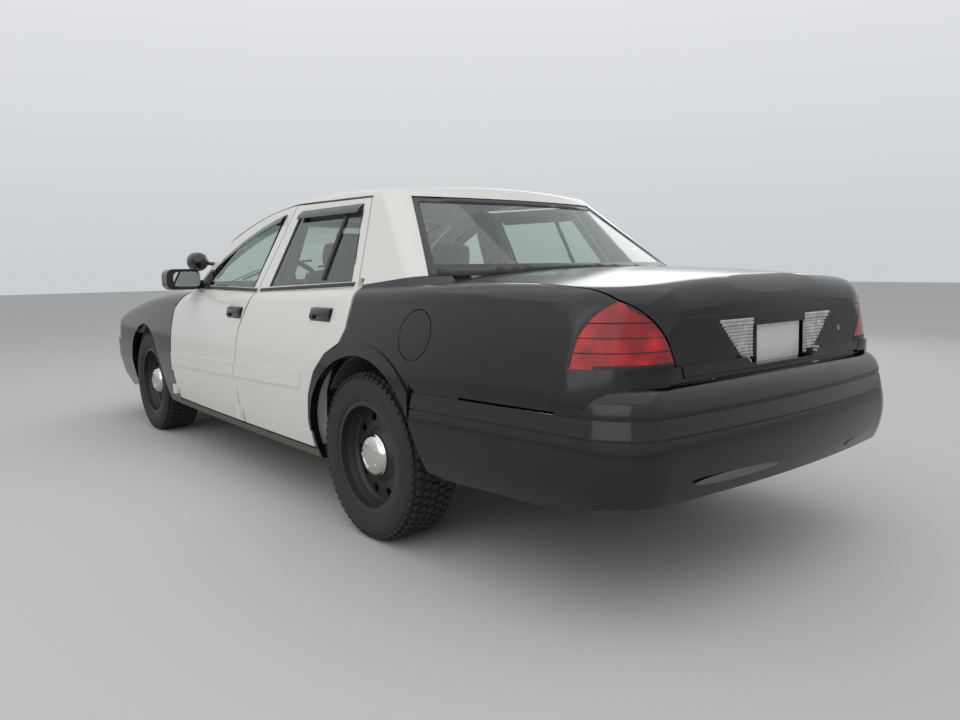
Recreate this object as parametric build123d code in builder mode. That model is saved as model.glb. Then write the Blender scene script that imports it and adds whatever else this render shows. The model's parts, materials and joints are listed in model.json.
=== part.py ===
from build123d import *
from math import cos, radians, sin, sqrt
import os

os.makedirs("parts", exist_ok=True)

# A full-size four-door patrol sedan on a separate frame, in millimetres.
# +X is forward, +Y is the driver's left, +Z is up, and the origin is on the ground
# below the middle of the car.

# Driving sizes
length = 5385
half_width = 985
wheelbase = 2913
front_overhang = 1112
roof_z = 1506
ground_clearance = 262
panel_gap = 7
frame_gap = 10
fit = 0.3

front_axle_x = length / 2 - front_overhang
rear_axle_x = front_axle_x - wheelbase

# Wheels and tyres
tyre_diameter = 690
tyre_width = 235
rim_diameter = 467
rim_width = 205
hub_hole_diameter = 84
hub_cap_diameter = 180
bolt_circle = 114.3
front_track = 1610
rear_track = 1666
axle_z = tyre_diameter / 2
kingpin_y = 715
front_well_radius = 400
rear_well_radius = 417
flare_width = 55
flare_depth = 8

# The painted body below the belt: one plan outline turned about a low axis
waist_z = 600
waist_x = -150
nose_x = 2620
tail_x = -2600
front_half = 905
rear_half = 865
quarter_bend_x = -1500
quarter_bend_half = 972
end_sweep = 30
front_corner = 380
rear_corner = 250
shoulder_radius = 90
crown_radius = 6500
crown_spread = 10
belt_rear = (-1750, 1100)
belt_front = (1000, 1030)
hood_tip = (2660, 760)
deck_tip = (-2640, 1062)
crease_z = 948
deck_edge = (-2500, 1077)
skin = 28
door_thickness = 95

# The roof and its pillars: a plan outline at the base and one at the top
house_base_z = 940
house_top_z = 1520
house_skin = 24
roof_cross_radius = 6000
roof_spread = 12
roof_rail_radius = 55
roof_peak_x = -650
roof_long_radius = 4600
glass_thickness = 5
glass_set_in = 6

# Doors: heights and lines that two panels share
sill_z = 305
belt_z = 1000
front_door_x = 942
frame_top_z = 1436
split_x = -105
split_shoulder_x = -127
split_belt_x = -205
split_top_x = -235
rear_door_x = -891

# Bumpers
bumper_thickness = 38
bumper_top_z = 728
front_bumper_top_z = 606
front_bumper_bottom_z = 235

# Openings of the lids
hood_half_rear = 705
hood_half_front = 560
hood_rear_x = 1085
hood_front_x = 2560
lid_half = 757
lid_front_x = -1850
lid_bottom_z = 765
lid_bottom_half = 566

pieces = {}


def sag(run, radius):
    # how far an arc of this radius falls over this run
    return radius - sqrt(radius ** 2 - run ** 2)


def both_sides(part):
    # the left piece and its mirror image as one node
    with BuildPart() as pair:
        add(part)
        mirror(about=Plane.XZ)
    return pair.part


def barrel(inset, nose=nose_x, tail=tail_x):
    # the outer surface of the sides, nose and tail
    front = nose - inset
    rear = tail + inset
    with BuildPart() as form:
        with BuildSketch(Plane.XY.offset(waist_z)) as half:
            with BuildLine():
                widest = (waist_x, half_width - inset)
                front_side = TangentArc(widest, (front - end_sweep, front_half - inset), tangent=(1, 0))
                door_side = TangentArc(widest, (quarter_bend_x, quarter_bend_half - inset), tangent=(-1, 0))
                rear_side = TangentArc(door_side @ 1, (rear + end_sweep, rear_half - inset), tangent=door_side % 1)
                Polyline(front_side @ 1, (front, 0), (rear, 0), rear_side @ 1)
            make_face()
            for end, radius in ((0, rear_corner), (-1, front_corner)):
                tips = half.vertices().filter_by(lambda v: v.Y > 100).sort_by(Axis.X)
                fillet(tips[end], radius - inset)
        revolve(axis=Axis((0, 0, waist_z), (1, 0, 0)))
    return form.part


def crown(inset):
    # everything below the crowned top of the hood, belt and deck
    axis_z = belt_rear[1] - crown_radius
    lean = radians(crown_spread)
    low = crown_radius / 2
    far = 2900

    def above(point):
        return (point[0], point[1] - inset - axis_z)

    with BuildPart() as form:
        with BuildSketch(Plane((0, 0, axis_z), (1, 0, 0), (0, -cos(lean), -sin(lean)))):
            with BuildLine():
                belt = Line(above(belt_rear), above(belt_front))
                hood_top = TangentArc(belt @ 1, above(hood_tip), tangent=belt % 1)
                deck_top = TangentArc(belt @ 0, above(deck_tip), tangent=(belt % 0) * -1)
                nose = Line(hood_top @ 1, above((far, hood_tip[1] - 150)))
                back = Line(deck_top @ 1, above((-far, deck_tip[1] - 30)))
                Polyline(nose @ 1, (far, low), (-far, low), back @ 1)
            make_face()
        revolve(axis=Axis((0, 0, axis_z), (-1, 0, 0)), revolution_arc=2 * crown_spread)
    return form.part


def above_crease(inset):
    # what the rounded rear edge of the trunk leaves free above its crease
    edge_x, edge_z = deck_edge[0] + inset, deck_edge[1] - inset
    low_x, low_z = tail_x + inset, crease_z - inset
    with BuildPart() as cut:
        with BuildSketch(Plane.XZ):
            with BuildLine():
                turn = ThreePointArc((low_x, low_z), (low_x + 30, low_z + 82), (edge_x, edge_z))
                Polyline(turn @ 1, (edge_x, 1300), (-length, 1300), (-length, low_z), turn @ 0)
            make_face()
        extrude(amount=half_width, both=True)
    return cut.part


def lower_form(inset, shoulder=0):
    with BuildPart() as form:
        add(barrel(inset))
        add(crown(inset), mode=Mode.INTERSECT)
        with BuildSketch(Plane.XY.offset(ground_clearance)):
            Rectangle(2 * length, 4 * half_width)
        extrude(amount=-4 * half_width, mode=Mode.SUBTRACT)
        if shoulder:
            shoulders = form.edges().filter_by(GeomType.BSPLINE).filter_by(
                lambda e: (e @ 0).Z > 740 and abs((e @ 0.5).Y) > 450 and abs((e @ 1 - e @ 0).X) > 100
            )
            fillet(shoulders, shoulder)
        add(above_crease(inset), mode=Mode.SUBTRACT)
    return form.part


def house_form(inset, rail=0):
    # plan outlines: height, front at the middle and at the sides, half width there, rear ditto
    outlines = (
        (house_base_z, 1025, 775, 925, -1849, -1719, 890, 120),
        (house_top_z, 417, 267, 612, -1087, -1012, 605, 100),
    )
    peak = roof_cross_radius
    axis_z = roof_z - inset - peak
    lean = radians(roof_spread)
    with BuildPart() as form:
        for z, front, front_side, half, rear, rear_side, rear_width, corner in outlines:
            with BuildSketch(Plane.XY.offset(z)) as outline:
                with BuildLine():
                    left_front = (front_side - inset, half - inset)
                    left_rear = (rear_side + inset, rear_width - inset)
                    right_front = (front_side - inset, inset - half)
                    right_rear = (rear_side + inset, inset - rear_width)
                    ThreePointArc(right_front, (front - inset, 0), left_front)
                    Line(left_front, left_rear)
                    ThreePointArc(left_rear, (rear + inset, 0), right_rear)
                    Line(right_rear, right_front)
                make_face()
                fillet(outline.vertices(), corner - inset)
        loft(ruled=True)
        with BuildSketch(Plane((0, 0, axis_z), (1, 0, 0), (0, -cos(lean), -sin(lean)))):
            with BuildLine():
                roof = ThreePointArc(
                    (-1500, peak - sag(1500 + roof_peak_x, roof_long_radius)),
                    (roof_peak_x, peak),
                    (-50, peak - sag(-50 - roof_peak_x, roof_long_radius)),
                )
                header = TangentArc(roof @ 1, (520, peak - 166), tangent=roof % 1)
                front = Line(header @ 1, (1400, peak - 560))
                Polyline(front @ 1, (1400, peak / 2), (-2300, peak / 2), (-2300, peak - 420), roof @ 0)
            make_face()
        revolve(axis=Axis((0, 0, axis_z), (-1, 0, 0)), revolution_arc=2 * roof_spread, mode=Mode.INTERSECT)
        if rail:
            rails = form.edges().filter_by(lambda e: min((e @ 0).Z, (e @ 1).Z) > 1260)
            fillet(rails, rail)
    return form.part


def side_block(outline, inner_y, outer_y, taper=0):
    # a block on the left side with this outline in side view
    with BuildPart() as block:
        with BuildSketch(Plane.XZ.offset(-outer_y)):
            add(outline)
        extrude(amount=outer_y - inner_y, taper=taper)
    return block.part


def plan_block(outline, bottom_z, top_z):
    with BuildPart() as block:
        with BuildSketch(Plane.XY.offset(bottom_z)):
            add(outline)
        extrude(amount=top_z - bottom_z)
    return block.part


def polygon(*points):
    with BuildSketch() as outline:
        with BuildLine():
            Polyline(*points, close=True)
        make_face()
    return outline.sketch


def grown(outline, margin, corners=Kind.INTERSECTION):
    with BuildSketch() as larger:
        add(outline)
        offset(amount=margin, kind=corners)
    return larger.sketch


def wheel_well(x, radius, inner_y):
    with BuildPart() as well:
        with BuildSketch(Plane.XZ.offset(-2 * half_width)):
            with Locations((x, axle_z)):
                Circle(radius)
        extrude(amount=2 * half_width - inner_y)
        mirror(about=Plane.XZ)
    return well.part


def panel(base, keep=(), cut=()):
    # the part of a shell inside every keep block and outside every cut block
    with BuildPart() as piece:
        add(base)
        for block in keep:
            add(block, mode=Mode.INTERSECT)
        for block in cut:
            add(block, mode=Mode.SUBTRACT)
    return piece.part


# Outlines in side view, x forward and z up. The two doors part along one line.
split_base_x = split_shoulder_x + (split_belt_x - split_shoulder_x) * (house_base_z - 800) / (belt_z - 800)
split_above_x = split_belt_x + (split_top_x - split_belt_x) * 60 / (frame_top_z - belt_z)
front_door_low = polygon(
    (front_door_x, sill_z), (front_door_x, 880), (700, belt_z + 60), (split_above_x, belt_z + 60),
    (split_belt_x, belt_z), (split_shoulder_x, 800), (split_x, 560), (split_x, sill_z),
)
with BuildSketch() as front_frame:
    with BuildLine():
        pillar = Line((700, belt_z), (480, 1245))
        arch = TangentArc(pillar @ 1, (split_top_x, frame_top_z), tangent=(-1.2, 0.62))
        Polyline(arch @ 1, (split_belt_x, belt_z), (split_base_x, house_base_z), (700, house_base_z), pillar @ 0)
    make_face()
front_frame_outline = front_frame.sketch
with BuildSketch() as front_window:
    with BuildLine():
        glass_front = Line((555, 1022), (440, 1165))
        glass_top = TangentArc(glass_front @ 1, (-165, 1392), tangent=(-1.2, 0.72))
        Polyline(glass_top @ 1, (-150, 1014), glass_front @ 0)
    make_face()
front_window_outline = front_window.sketch

rear_door_low = polygon(
    (split_x - panel_gap, sill_z), (split_x - panel_gap, 560), (split_shoulder_x - panel_gap, 800),
    (split_belt_x - panel_gap, belt_z), (split_above_x - panel_gap, belt_z + 60), (-1185, belt_z + 60),
    (-1205, 960), (-1205, 860), (-1170, 800), (-1060, 748), (-985, 672), (-930, 560), (-900, 440),
    (rear_door_x, sill_z),
)
rear_frame_outline = polygon(
    (split_top_x - frame_gap, frame_top_z), (split_belt_x - frame_gap, belt_z),
    (split_base_x - frame_gap, house_base_z), (-1190, house_base_z), (-1160, 1030), (-975, 1424),
)
rear_window_outline = polygon((-325, 1022), (-325, 1398), (-930, 1396), (-1100, 1052))

# Shells that the panels are cut from
body = lower_form(0, shoulder_radius)
body_skin = panel(body, cut=[lower_form(skin)])
door_slab = panel(body, cut=[barrel(door_thickness)])
house = house_form(0, roof_rail_radius)
house_shell = panel(house, cut=[house_form(house_skin)])
glass_shell = panel(house_form(glass_set_in), cut=[house_form(glass_set_in + glass_thickness)])

front_wells = wheel_well(front_axle_x, front_well_radius, 430)
rear_wells = wheel_well(rear_axle_x, rear_well_radius, 640)

def cross_block(outline, rear_x, front_x):
    # a block along the car with this outline as seen from the front, y to the left
    with BuildPart() as block:
        with BuildSketch(Plane((rear_x, 0, 0), (0, 1, 0), (1, 0, 0))):
            add(outline)
        extrude(amount=front_x - rear_x)
    return block.part


def box(x, y, z):
    # a block between two values on each axis
    with BuildPart() as block:
        with BuildSketch(Plane.XY.offset(z[0])):
            with Locations(((x[0] + x[1]) / 2, (y[0] + y[1]) / 2)):
                Rectangle(x[1] - x[0], y[1] - y[0])
        extrude(amount=z[1] - z[0])
    return block.part


def rod(start, end, radius):
    # a round bar between two points
    path = Vector(*end) - Vector(*start)
    with BuildPart() as bar:
        with BuildSketch(Plane(start, z_dir=path)):
            Circle(radius)
        extrude(amount=path.length)
    return bar.part


# Side mouldings: front x, rear x, and the moulding's lower edge at each
moulding_height = 74
moulding_proud = 9
moulding_shell = panel(barrel(-moulding_proud), cut=[barrel(0)])
moulding_rows = {"front": (922, 530, -98, 556), "rear": (-126, 557, -858, 583)}

# Doors with their window frames, hinge knuckles and glass
knuckle_radius = panel_gap / 2 - fit
hinge_set_in = 3.5
knuckle_rows = ((340, 400), (490, 550))
frame_inner_y = 590
front_hinge_y = 972 - hinge_set_in
rear_hinge_y = half_width - hinge_set_in
doors = (
    ("front", front_door_low, front_frame_outline, front_window_outline, front_door_x, front_hinge_y),
    ("rear", rear_door_low, rear_frame_outline, rear_window_outline, split_x - panel_gap, rear_hinge_y),
)
door_openings = []
for place, low, frame, window, edge_x, hinge_y in doors:
    low_block = side_block(low, 500, half_width + 5, taper=5)
    frame_block = side_block(frame, frame_inner_y, 1000)
    window_block = side_block(window, 400, 1000)
    hinge_x = edge_x + panel_gap / 2
    with BuildPart() as door:
        add(panel(door_slab, keep=[low_block]))
        add(panel(house_shell, keep=[frame_block]))
        add(window_block, mode=Mode.SUBTRACT)
        add(rear_wells, mode=Mode.SUBTRACT)
        front_x, front_z, rear_x, rear_z = moulding_rows[place]
        moulding_outline = polygon((front_x, front_z), (front_x, front_z + moulding_height),
                                   (rear_x, rear_z + moulding_height), (rear_x, rear_z))
        add(panel(moulding_shell, keep=[side_block(moulding_outline, 800, 1100)]))
        for low_z, high_z in knuckle_rows:
            add(rod((hinge_x, hinge_y, low_z), (hinge_x, hinge_y, high_z), knuckle_radius))
            add(box((edge_x - 20, edge_x + 2), (hinge_y - 22, hinge_y - 1), (low_z, high_z)))
    pieces[f"{place}_door_left"] = door.part
    pieces[f"{place}_door_right"] = mirror(door.part, about=Plane.XZ)
    pane = panel(glass_shell, keep=[window_block])
    pieces[f"{place}_glass_left"] = pane
    pieces[f"{place}_glass_right"] = mirror(pane, about=Plane.XZ)
    door_openings.append(both_sides(side_block(grown(low, panel_gap), 700, 1100)))
    door_openings.append(both_sides(side_block(grown(frame, frame_gap), frame_inner_y - frame_gap, 1100)))

# Roof with its pillars, windshield and rear window
windshield_block = cross_block(polygon((-845, 950), (845, 950), (600, 1396), (-600, 1396)), 150, 1300)
rear_window_block = cross_block(polygon((-772, 1074), (772, 1074), (562, 1422), (-562, 1422)), -2000, -1050)
seam_outline = polygon((-1150, 1036), (-1700, 1091), (-1950, 1116), (-1950, 900), (-1150, 900))
seam_block = both_sides(side_block(seam_outline, 500, 1100))
pieces["roof"] = panel(house_shell, cut=[body, windshield_block, rear_window_block, seam_block] + door_openings)
pieces["windshield"] = panel(glass_shell, keep=[windshield_block], cut=[body])
pieces["rear_window"] = panel(glass_shell, keep=[rear_window_block], cut=[body])

# Hood, cowl and front fenders
hood_edge_x = 950
hood_hinge_y = (620, 640, 690)
with BuildSketch() as hood_outline:
    with BuildLine():
        hood_rear = ThreePointArc((hood_edge_x, -hood_hinge_y[0]), (hood_rear_x, 0), (hood_edge_x, hood_hinge_y[0]))
        hood_front = ThreePointArc((hood_front_x - 110, hood_half_front), (hood_front_x, 0),
                                   (hood_front_x - 110, -hood_half_front))
        Polyline(hood_rear @ 1, (hood_edge_x, hood_half_rear), hood_front @ 0)
        Polyline(hood_front @ 1, (hood_edge_x, -hood_half_rear), hood_rear @ 0)
    make_face()
hood_block = plan_block(hood_outline.sketch, 600, 1200)
hood_opening = plan_block(grown(hood_outline.sketch, panel_gap, Kind.ARC), 600, 1200)
cowl_block = box((760, hood_rear_x), (-735, 735), (900, 1100))
front_block = box((640, length / 2), (-half_width, half_width), (ground_clearance, 1100))
rocker_front_x = front_door_x + panel_gap
rocker_rear_x = rear_door_x - panel_gap
rocker_block = both_sides(box((rocker_rear_x, rocker_front_x), (500, 1000), (ground_clearance, sill_z - panel_gap)))
cabin_block = box((-1170, 765), (-840, 840), (900, 1200))
front_under_block = box((1940, length), (-half_width, half_width), (0, 280))
rear_under_block = box((-length, -1710), (-half_width, half_width), (0, 388))
front_bumper_outline = polygon(
    (front_axle_x + front_well_radius - 15, front_bumper_bottom_z + 40), (2250, front_bumper_bottom_z),
    (length / 2 + 10, front_bumper_bottom_z), (length / 2 + 10, front_bumper_top_z),
    (2300, front_bumper_top_z), (front_axle_x + front_well_radius - 60, front_bumper_top_z - 20),
)
front_bumper_block = both_sides(side_block(front_bumper_outline, 0, 1100))
headlamp_outline = polygon((465, 618), (850, 618), (985, 660), (985, 760), (860, 768), (520, 752), (458, 700))
headlamp_block = both_sides(cross_block(headlamp_outline, 2320, length / 2))
grille_block = cross_block(polygon((-425, 622), (425, 622), (440, 700), (425, 742), (-425, 742), (-440, 700)),
                           2400, length / 2)
hood_hinge_z = 992
with BuildPart() as hood:
    add(panel(body_skin, keep=[hood_block], cut=[grille_block]))
    with BuildPart(mode=Mode.PRIVATE) as knuckle_bar:
        hood_pin_x = hood_edge_x - panel_gap / 2
        add(rod((hood_pin_x, hood_hinge_y[1], hood_hinge_z), (hood_pin_x, hood_hinge_y[2], hood_hinge_z), knuckle_radius))
        add(box((hood_pin_x, hood_edge_x + 3), hood_hinge_y[1:], (hood_hinge_z - 8, hood_hinge_z)))
    add(both_sides(knuckle_bar.part))
pieces["hood"] = hood.part
# the hood's rear corners swing back over the cowl, which is cut away under them
hood_swing = both_sides(box((hood_edge_x - 13, hood_edge_x), (hood_hinge_y[0] - 20, hood_hinge_y[1] + 10), (900, 1100)))
pieces["cowl"] = panel(body_skin, keep=[cowl_block], cut=[hood_opening, hood_swing] + door_openings)
pieces["front_fenders"] = panel(
    body_skin, keep=[front_block],
    cut=[hood_opening, cowl_block, front_wells, front_bumper_block, headlamp_block, grille_block,
         front_under_block, rocker_block, cabin_block] + door_openings,
)
lamp_shell = panel(body, cut=[lower_form(70)])
pieces["headlamps"] = panel(lamp_shell, keep=[headlamp_block], cut=[hood_opening, front_bumper_block])
grille_shell = panel(lower_form(12), cut=[lower_form(40)])
pieces["grille"] = panel(grille_shell, keep=[grille_block], cut=[front_bumper_block, hood_opening])

# Bumper covers: plan outlines at several heights, joined by straight walls
def bumper_form(rows, inset):
    # rows: height and how far the front stands beyond the middle of the car
    with BuildPart() as form:
        for z, end_x in rows:
            reach = end_x - inset
            side_half = sqrt(half_width ** 2 - (z - waist_z) ** 2) - inset
            end_half = side_half - (half_width - front_half)
            with BuildSketch(Plane.XY.offset(z)) as outline:
                with BuildLine():
                    left = TangentArc((waist_x, side_half), (reach - end_sweep, end_half), tangent=(end_sweep, 0))
                    right = TangentArc((waist_x, -side_half), (reach - end_sweep, -end_half), tangent=(end_sweep, 0))
                    ThreePointArc(left @ 1, (reach, 0), right @ 1)
                    Line(left @ 0, right @ 0)
                make_face()
                corners = outline.vertices().filter_by(lambda v: v.X > 2000)
                fillet(corners, front_corner - inset)
        loft(ruled=True)
    return form.part


front_bumper_rows = ((front_bumper_bottom_z, 2590), (330, 2676), (470, length / 2), (front_bumper_top_z, 2668))
front_cover = panel(bumper_form(front_bumper_rows, 0), cut=[bumper_form(front_bumper_rows, bumper_thickness)])

# Rear bumper cover: one profile turned round the tail and drawn along the sides.
# Its profile is given by how far it stands in from the outermost line, and by height.
tail_radius = 6000
tail_turn = 6.6
tail_corner_radius = 221
side_angle = 6.9
shelf_run = 120
side_run = 790
shelf_z = 742
shelf_foot = (21, 664)
groove_depth = 6
fill_depth = 200
outer_tail = Vector(-length / 2, 0, 0)
tail_centre = outer_tail + Vector(tail_radius, 0, 0)
# The shelf on top: its inner edge and a point halfway down
tail_shelf = (72, (36, 710))
side_shelf = (14, (14, 703))


def inward(angle):
    # the level direction into the car where the outline has turned by this angle
    return Vector(cos(radians(angle)), -sin(radians(angle)), 0)


corner_start = tail_centre - inward(tail_turn) * tail_radius
corner_centre = corner_start + inward(tail_turn) * tail_corner_radius
side_turn = 90 - side_angle
corner_end = corner_centre - inward(side_turn) * tail_corner_radius
forward = Vector(cos(radians(side_angle)), sin(radians(side_angle)), 0)
upright_start = corner_end + forward * shelf_run
arch_end = corner_end + forward * side_run


def bumper_section(origin, angle, shelf_form, filled):
    edge, halfway = shelf_form
    into = inward(angle)
    with BuildSketch(Plane(origin, x_dir=into, z_dir=into.cross(Vector(0, 0, 1)))) as section:
        with BuildLine():
            shelf = ThreePointArc((edge, shelf_z), halfway, shelf_foot)
            band = Line((20, 656), (9, 603))
            Polyline(shelf @ 1, (shelf_foot[0] + groove_depth, 664), (20 + groove_depth, 656), band @ 0)
            face = ThreePointArc((8, 596), (0, 520), (9, 445))
            Polyline(band @ 1, (9 + groove_depth, 603), (8 + groove_depth, 596), face @ 0)
            under = TangentArc(face @ 1, (58, 342), tangent=face % 1)
            if filled:
                Polyline(under @ 1, (fill_depth, 342), (fill_depth, shelf_z), shelf @ 0)
            else:
                Polyline(under @ 1, (96, 342), (50, 450), (40, 520), (48, 596), (60, 660), (edge + 24, 716),
                         (edge + 24, shelf_z), shelf @ 0)
        make_face()
    return section.sketch


def tail_cover(filled):
    with BuildPart() as cover:
        revolve(bumper_section(outer_tail, 0, tail_shelf, filled), axis=Axis(tail_centre, (0, 0, -1)),
                revolution_arc=tail_turn)
        revolve(bumper_section(corner_start, tail_turn, tail_shelf, filled), axis=Axis(corner_centre, (0, 0, -1)),
                revolution_arc=side_turn - tail_turn)
        loft([bumper_section(corner_end, side_turn, tail_shelf, filled),
              bumper_section(upright_start, side_turn, side_shelf, filled)], ruled=True)
        extrude(bumper_section(upright_start, side_turn, side_shelf, filled), amount=side_run - shelf_run, dir=forward)
    return both_sides(cover.part)


rear_cover = tail_cover(False)
rear_cover_filled = tail_cover(True)
rear_bumper_outline = polygon(
    (rear_axle_x - rear_well_radius + 60, bumper_top_z - 17), (-2330, bumper_top_z + 3), (-2400, shelf_z + 3),
    (-length, shelf_z + 3), (-length, 392), (-2560, 392), (-2250, 344), (rear_axle_x - rear_well_radius + 30, 344),
)
rear_bumper_block = both_sides(side_block(rear_bumper_outline, 0, 1100))
rear_panel_inset = 26 + fit
quarter_foot = both_sides(side_block(polygon(
    (rear_axle_x - rear_well_radius + 60, bumper_top_z - 17), (-2330, bumper_top_z + 3), (upright_start.X, 718),
    (-2500, shelf_foot[1]), (-length, shelf_foot[1]), (-length, 0), (rear_axle_x - rear_well_radius + 60, 0),
), 0, 1100))
front_end = box((front_axle_x, length), (-1100, 1100), (0, 1200))
rear_end = box((-length, rear_axle_x), (-1100, 1100), (0, 1200))
pieces["front_bumper"] = panel(front_cover, keep=[front_bumper_block, front_end], cut=[front_wells])
rear_rail_end_x = -2545
behind_bumper = panel(lower_form(rear_panel_inset - fit), keep=[box((-length, 0), (-1000, 1000), (480, 1200))])
with BuildPart() as rear_bumper:
    add(panel(rear_cover, keep=[rear_bumper_block, rear_end], cut=[rear_wells, behind_bumper]))
    add(both_sides(box((rear_rail_end_x - 55, rear_rail_end_x), (530, 590), (400, 460))))
pieces["rear_bumper"] = rear_bumper.part

# Trunk lid, rear deck, rear panel, quarter panels, fuel door and tail lamps
with BuildSketch() as lid_rear_view:
    with BuildLine():
        lid_side = ThreePointArc((lid_bottom_half, lid_bottom_z), (632, 905), (738, 1008))
        Polyline(lid_side @ 1, (lid_half, 1046), (lid_half, 1200), (0, 1200), (0, lid_bottom_z), lid_side @ 0)
    make_face()
    mirror(about=Plane.YZ)
lid_outline = lid_rear_view.sketch
lid_block = cross_block(lid_outline, -length / 2, lid_front_x)
lid_opening = cross_block(grown(lid_outline, panel_gap, Kind.ARC), -length / 2, lid_front_x + panel_gap)
plate_half = 186
plate_top_z = 902
plate_depth = 34
plate_wall = 6
plate_x = tail_x + 25
plate_pocket = box((-length / 2, plate_x + plate_depth), (-plate_half, plate_half), (lid_bottom_z + 8, plate_top_z))
plate_pan = box(
    (plate_x - 2, plate_x + plate_depth + plate_wall),
    (-plate_half - plate_wall, plate_half + plate_wall),
    (lid_bottom_z + 8 - plate_wall, plate_top_z + plate_wall),
)
plate_hole_spacing = 178
plate_hole_diameter = 7
plate_hole_z = 862
reverse_lamp_outline = polygon((190, 904), (340, 904), (214, 782), (190, 782))
reverse_lamp_block = both_sides(cross_block(reverse_lamp_outline, -length / 2, -2500))
ledge_z = (shelf_z + 1, 800)
with BuildSketch() as ledge_outline:
    with BuildLine():
        ledge_tail = ThreePointArc((-2601, 590), (-2616, 0), (-2601, -590))
        left_turn = ThreePointArc(ledge_tail @ 0, (-2557, 740), (-2430, 830))
        right_turn = ThreePointArc(ledge_tail @ 1, (-2557, -740), (-2430, -830))
        Line(left_turn @ 1, right_turn @ 1)
    make_face()
ledge = panel(plan_block(ledge_outline.sketch, *ledge_z), cut=[barrel(skin / 2)])
lid_hinge_x = lid_front_x + panel_gap / 2
lid_hinge_z = 1098
lid_hinge_y = (40, 100)
with BuildPart() as trunk_lid:
    add(panel(body_skin, keep=[lid_block], cut=[reverse_lamp_block]))
    add(panel(ledge, keep=[lid_block], cut=[reverse_lamp_block]))
    add(panel(plate_pan, keep=[body]))
    add(plate_pocket, mode=Mode.SUBTRACT)
    with BuildPart(mode=Mode.PRIVATE) as lid_knuckle:
        add(rod((lid_hinge_x, lid_hinge_y[0], lid_hinge_z), (lid_hinge_x, lid_hinge_y[1], lid_hinge_z), knuckle_radius))
        add(box((lid_front_x - 3, lid_hinge_x), lid_hinge_y, (lid_hinge_z - 8, lid_hinge_z)))
    add(both_sides(lid_knuckle.part))
    with BuildSketch(Plane((tail_x - 100, 0, 0), (0, 1, 0), (1, 0, 0))):
        with Locations((0, plate_hole_z)):
            with GridLocations(plate_hole_spacing, 0, 2, 1):
                Circle(plate_hole_diameter / 2)
    extrude(amount=300, mode=Mode.SUBTRACT)
pieces["trunk_lid"] = trunk_lid.part
pieces["reverse_lamps"] = panel(panel(lower_form(3), cut=[lower_form(24)]), keep=[reverse_lamp_block, lid_block],
                                cut=[plate_pan])
deck_block = box((lid_front_x + panel_gap, -1170), (-680, 680), (940, 1150))
pieces["rear_deck"] = panel(body_skin, keep=[deck_block], cut=[lid_opening])
tail_lamp_outline = polygon(
    (-2392, ledge_z[1] + 3), (-2402, 900), (-2425, 955), (-2465, 1000), (-2530, 1036), (-length, 1036),
    (-length, ledge_z[1] + 3),
)
tail_lamp_block = panel(both_sides(side_block(tail_lamp_outline, 500, 1100)), cut=[lid_opening])
rear_panel_half = 640
rear_panel_top_z = lid_bottom_z - panel_gap
rear_panel_block = box((-length / 2, -2450), (-rear_panel_half, rear_panel_half), (495, rear_panel_top_z))
rear_lip_block = box((-length / 2, -2450), (-rear_panel_half, rear_panel_half), (shelf_z + 1, rear_panel_top_z))
with BuildPart() as rear_panel:
    add(panel(lower_form(rear_panel_inset), keep=[rear_panel_block], cut=[lower_form(rear_panel_inset + 24)]))
    add(panel(body_skin, keep=[rear_lip_block]))
pieces["rear_panel"] = rear_panel.part
fuel_x = -1684
fuel_z = 864
fuel_radius = 90
fuel_door_thickness = 6
fuel_gap = 4
fuel_neck_radius = 68


def fuel_block(radius):
    with BuildPart() as block:
        with BuildSketch(Plane.XZ.offset(-1100)):
            with Locations((fuel_x, fuel_z)):
                Circle(radius)
        extrude(amount=300)
    return block.part


fuel_hinge_x = fuel_x + fuel_radius + fuel_gap / 2
fuel_hinge_y = 933
fuel_hinge_lean = 0.28
fuel_hinge_reach = 7
fuel_pin_radius = 1.4
with BuildPart() as fuel_door:
    add(panel(panel(body, cut=[barrel(fuel_door_thickness)]), keep=[fuel_block(fuel_radius)]))
    # the pin leans with the body side, so the edge of the door turns clear of the panel
    pin_low, pin_high = [
        (fuel_hinge_x, fuel_hinge_y - fuel_hinge_lean * rise, fuel_z + rise) for rise in (-fuel_hinge_reach, fuel_hinge_reach)
    ]
    add(rod(pin_low, pin_high, fuel_pin_radius))
    add(box((fuel_hinge_x - 8, fuel_hinge_x), (fuel_hinge_y - 4, fuel_hinge_y - 1),
            (fuel_z - fuel_hinge_reach, fuel_z + fuel_hinge_reach)))
pieces["fuel_door"] = fuel_door.part
fuel_recess = panel(fuel_block(fuel_radius + fuel_gap), cut=[barrel(fuel_door_thickness + fit)])
quarter_block = box((-length / 2, -850), (-half_width, half_width), (ground_clearance, 1200))
bumper_place = panel(rear_cover_filled, keep=[rear_bumper_block])
arch_flare = panel(
    panel(barrel(-flare_depth), cut=[barrel(0)]),
    keep=[wheel_well(rear_axle_x, rear_well_radius + flare_width, 640), box((-length, 0), (-1100, 1100), (392, 1000))],
    cut=[rear_wells] + door_openings,
)
with BuildPart() as quarter_panels:
    add(panel(
        body_skin, keep=[quarter_block],
        cut=[lid_opening, deck_block, rear_panel_block, tail_lamp_block, rear_wells, bumper_place,
             quarter_foot, fuel_recess, fuel_block(fuel_neck_radius), rear_under_block, rocker_block, cabin_block] + door_openings,
    ))
    add(panel(house_shell, keep=[seam_block], cut=[body, rear_window_block, deck_block] + door_openings))
    add(panel(ledge, cut=[lid_opening, rear_panel_block]))
    add(panel(arch_flare, cut=[bumper_place, quarter_foot]))
pieces["quarter_panels"] = quarter_panels.part
pieces["tail_lamps"] = panel(lamp_shell, keep=[tail_lamp_block], cut=[lid_opening])
gutter_sheet = panel(lower_form(skin + fit), cut=[lower_form(skin + 10)])
gutter_outer = cross_block(grown(lid_outline, 28, Kind.ARC), -2500, lid_front_x + 40)
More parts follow.
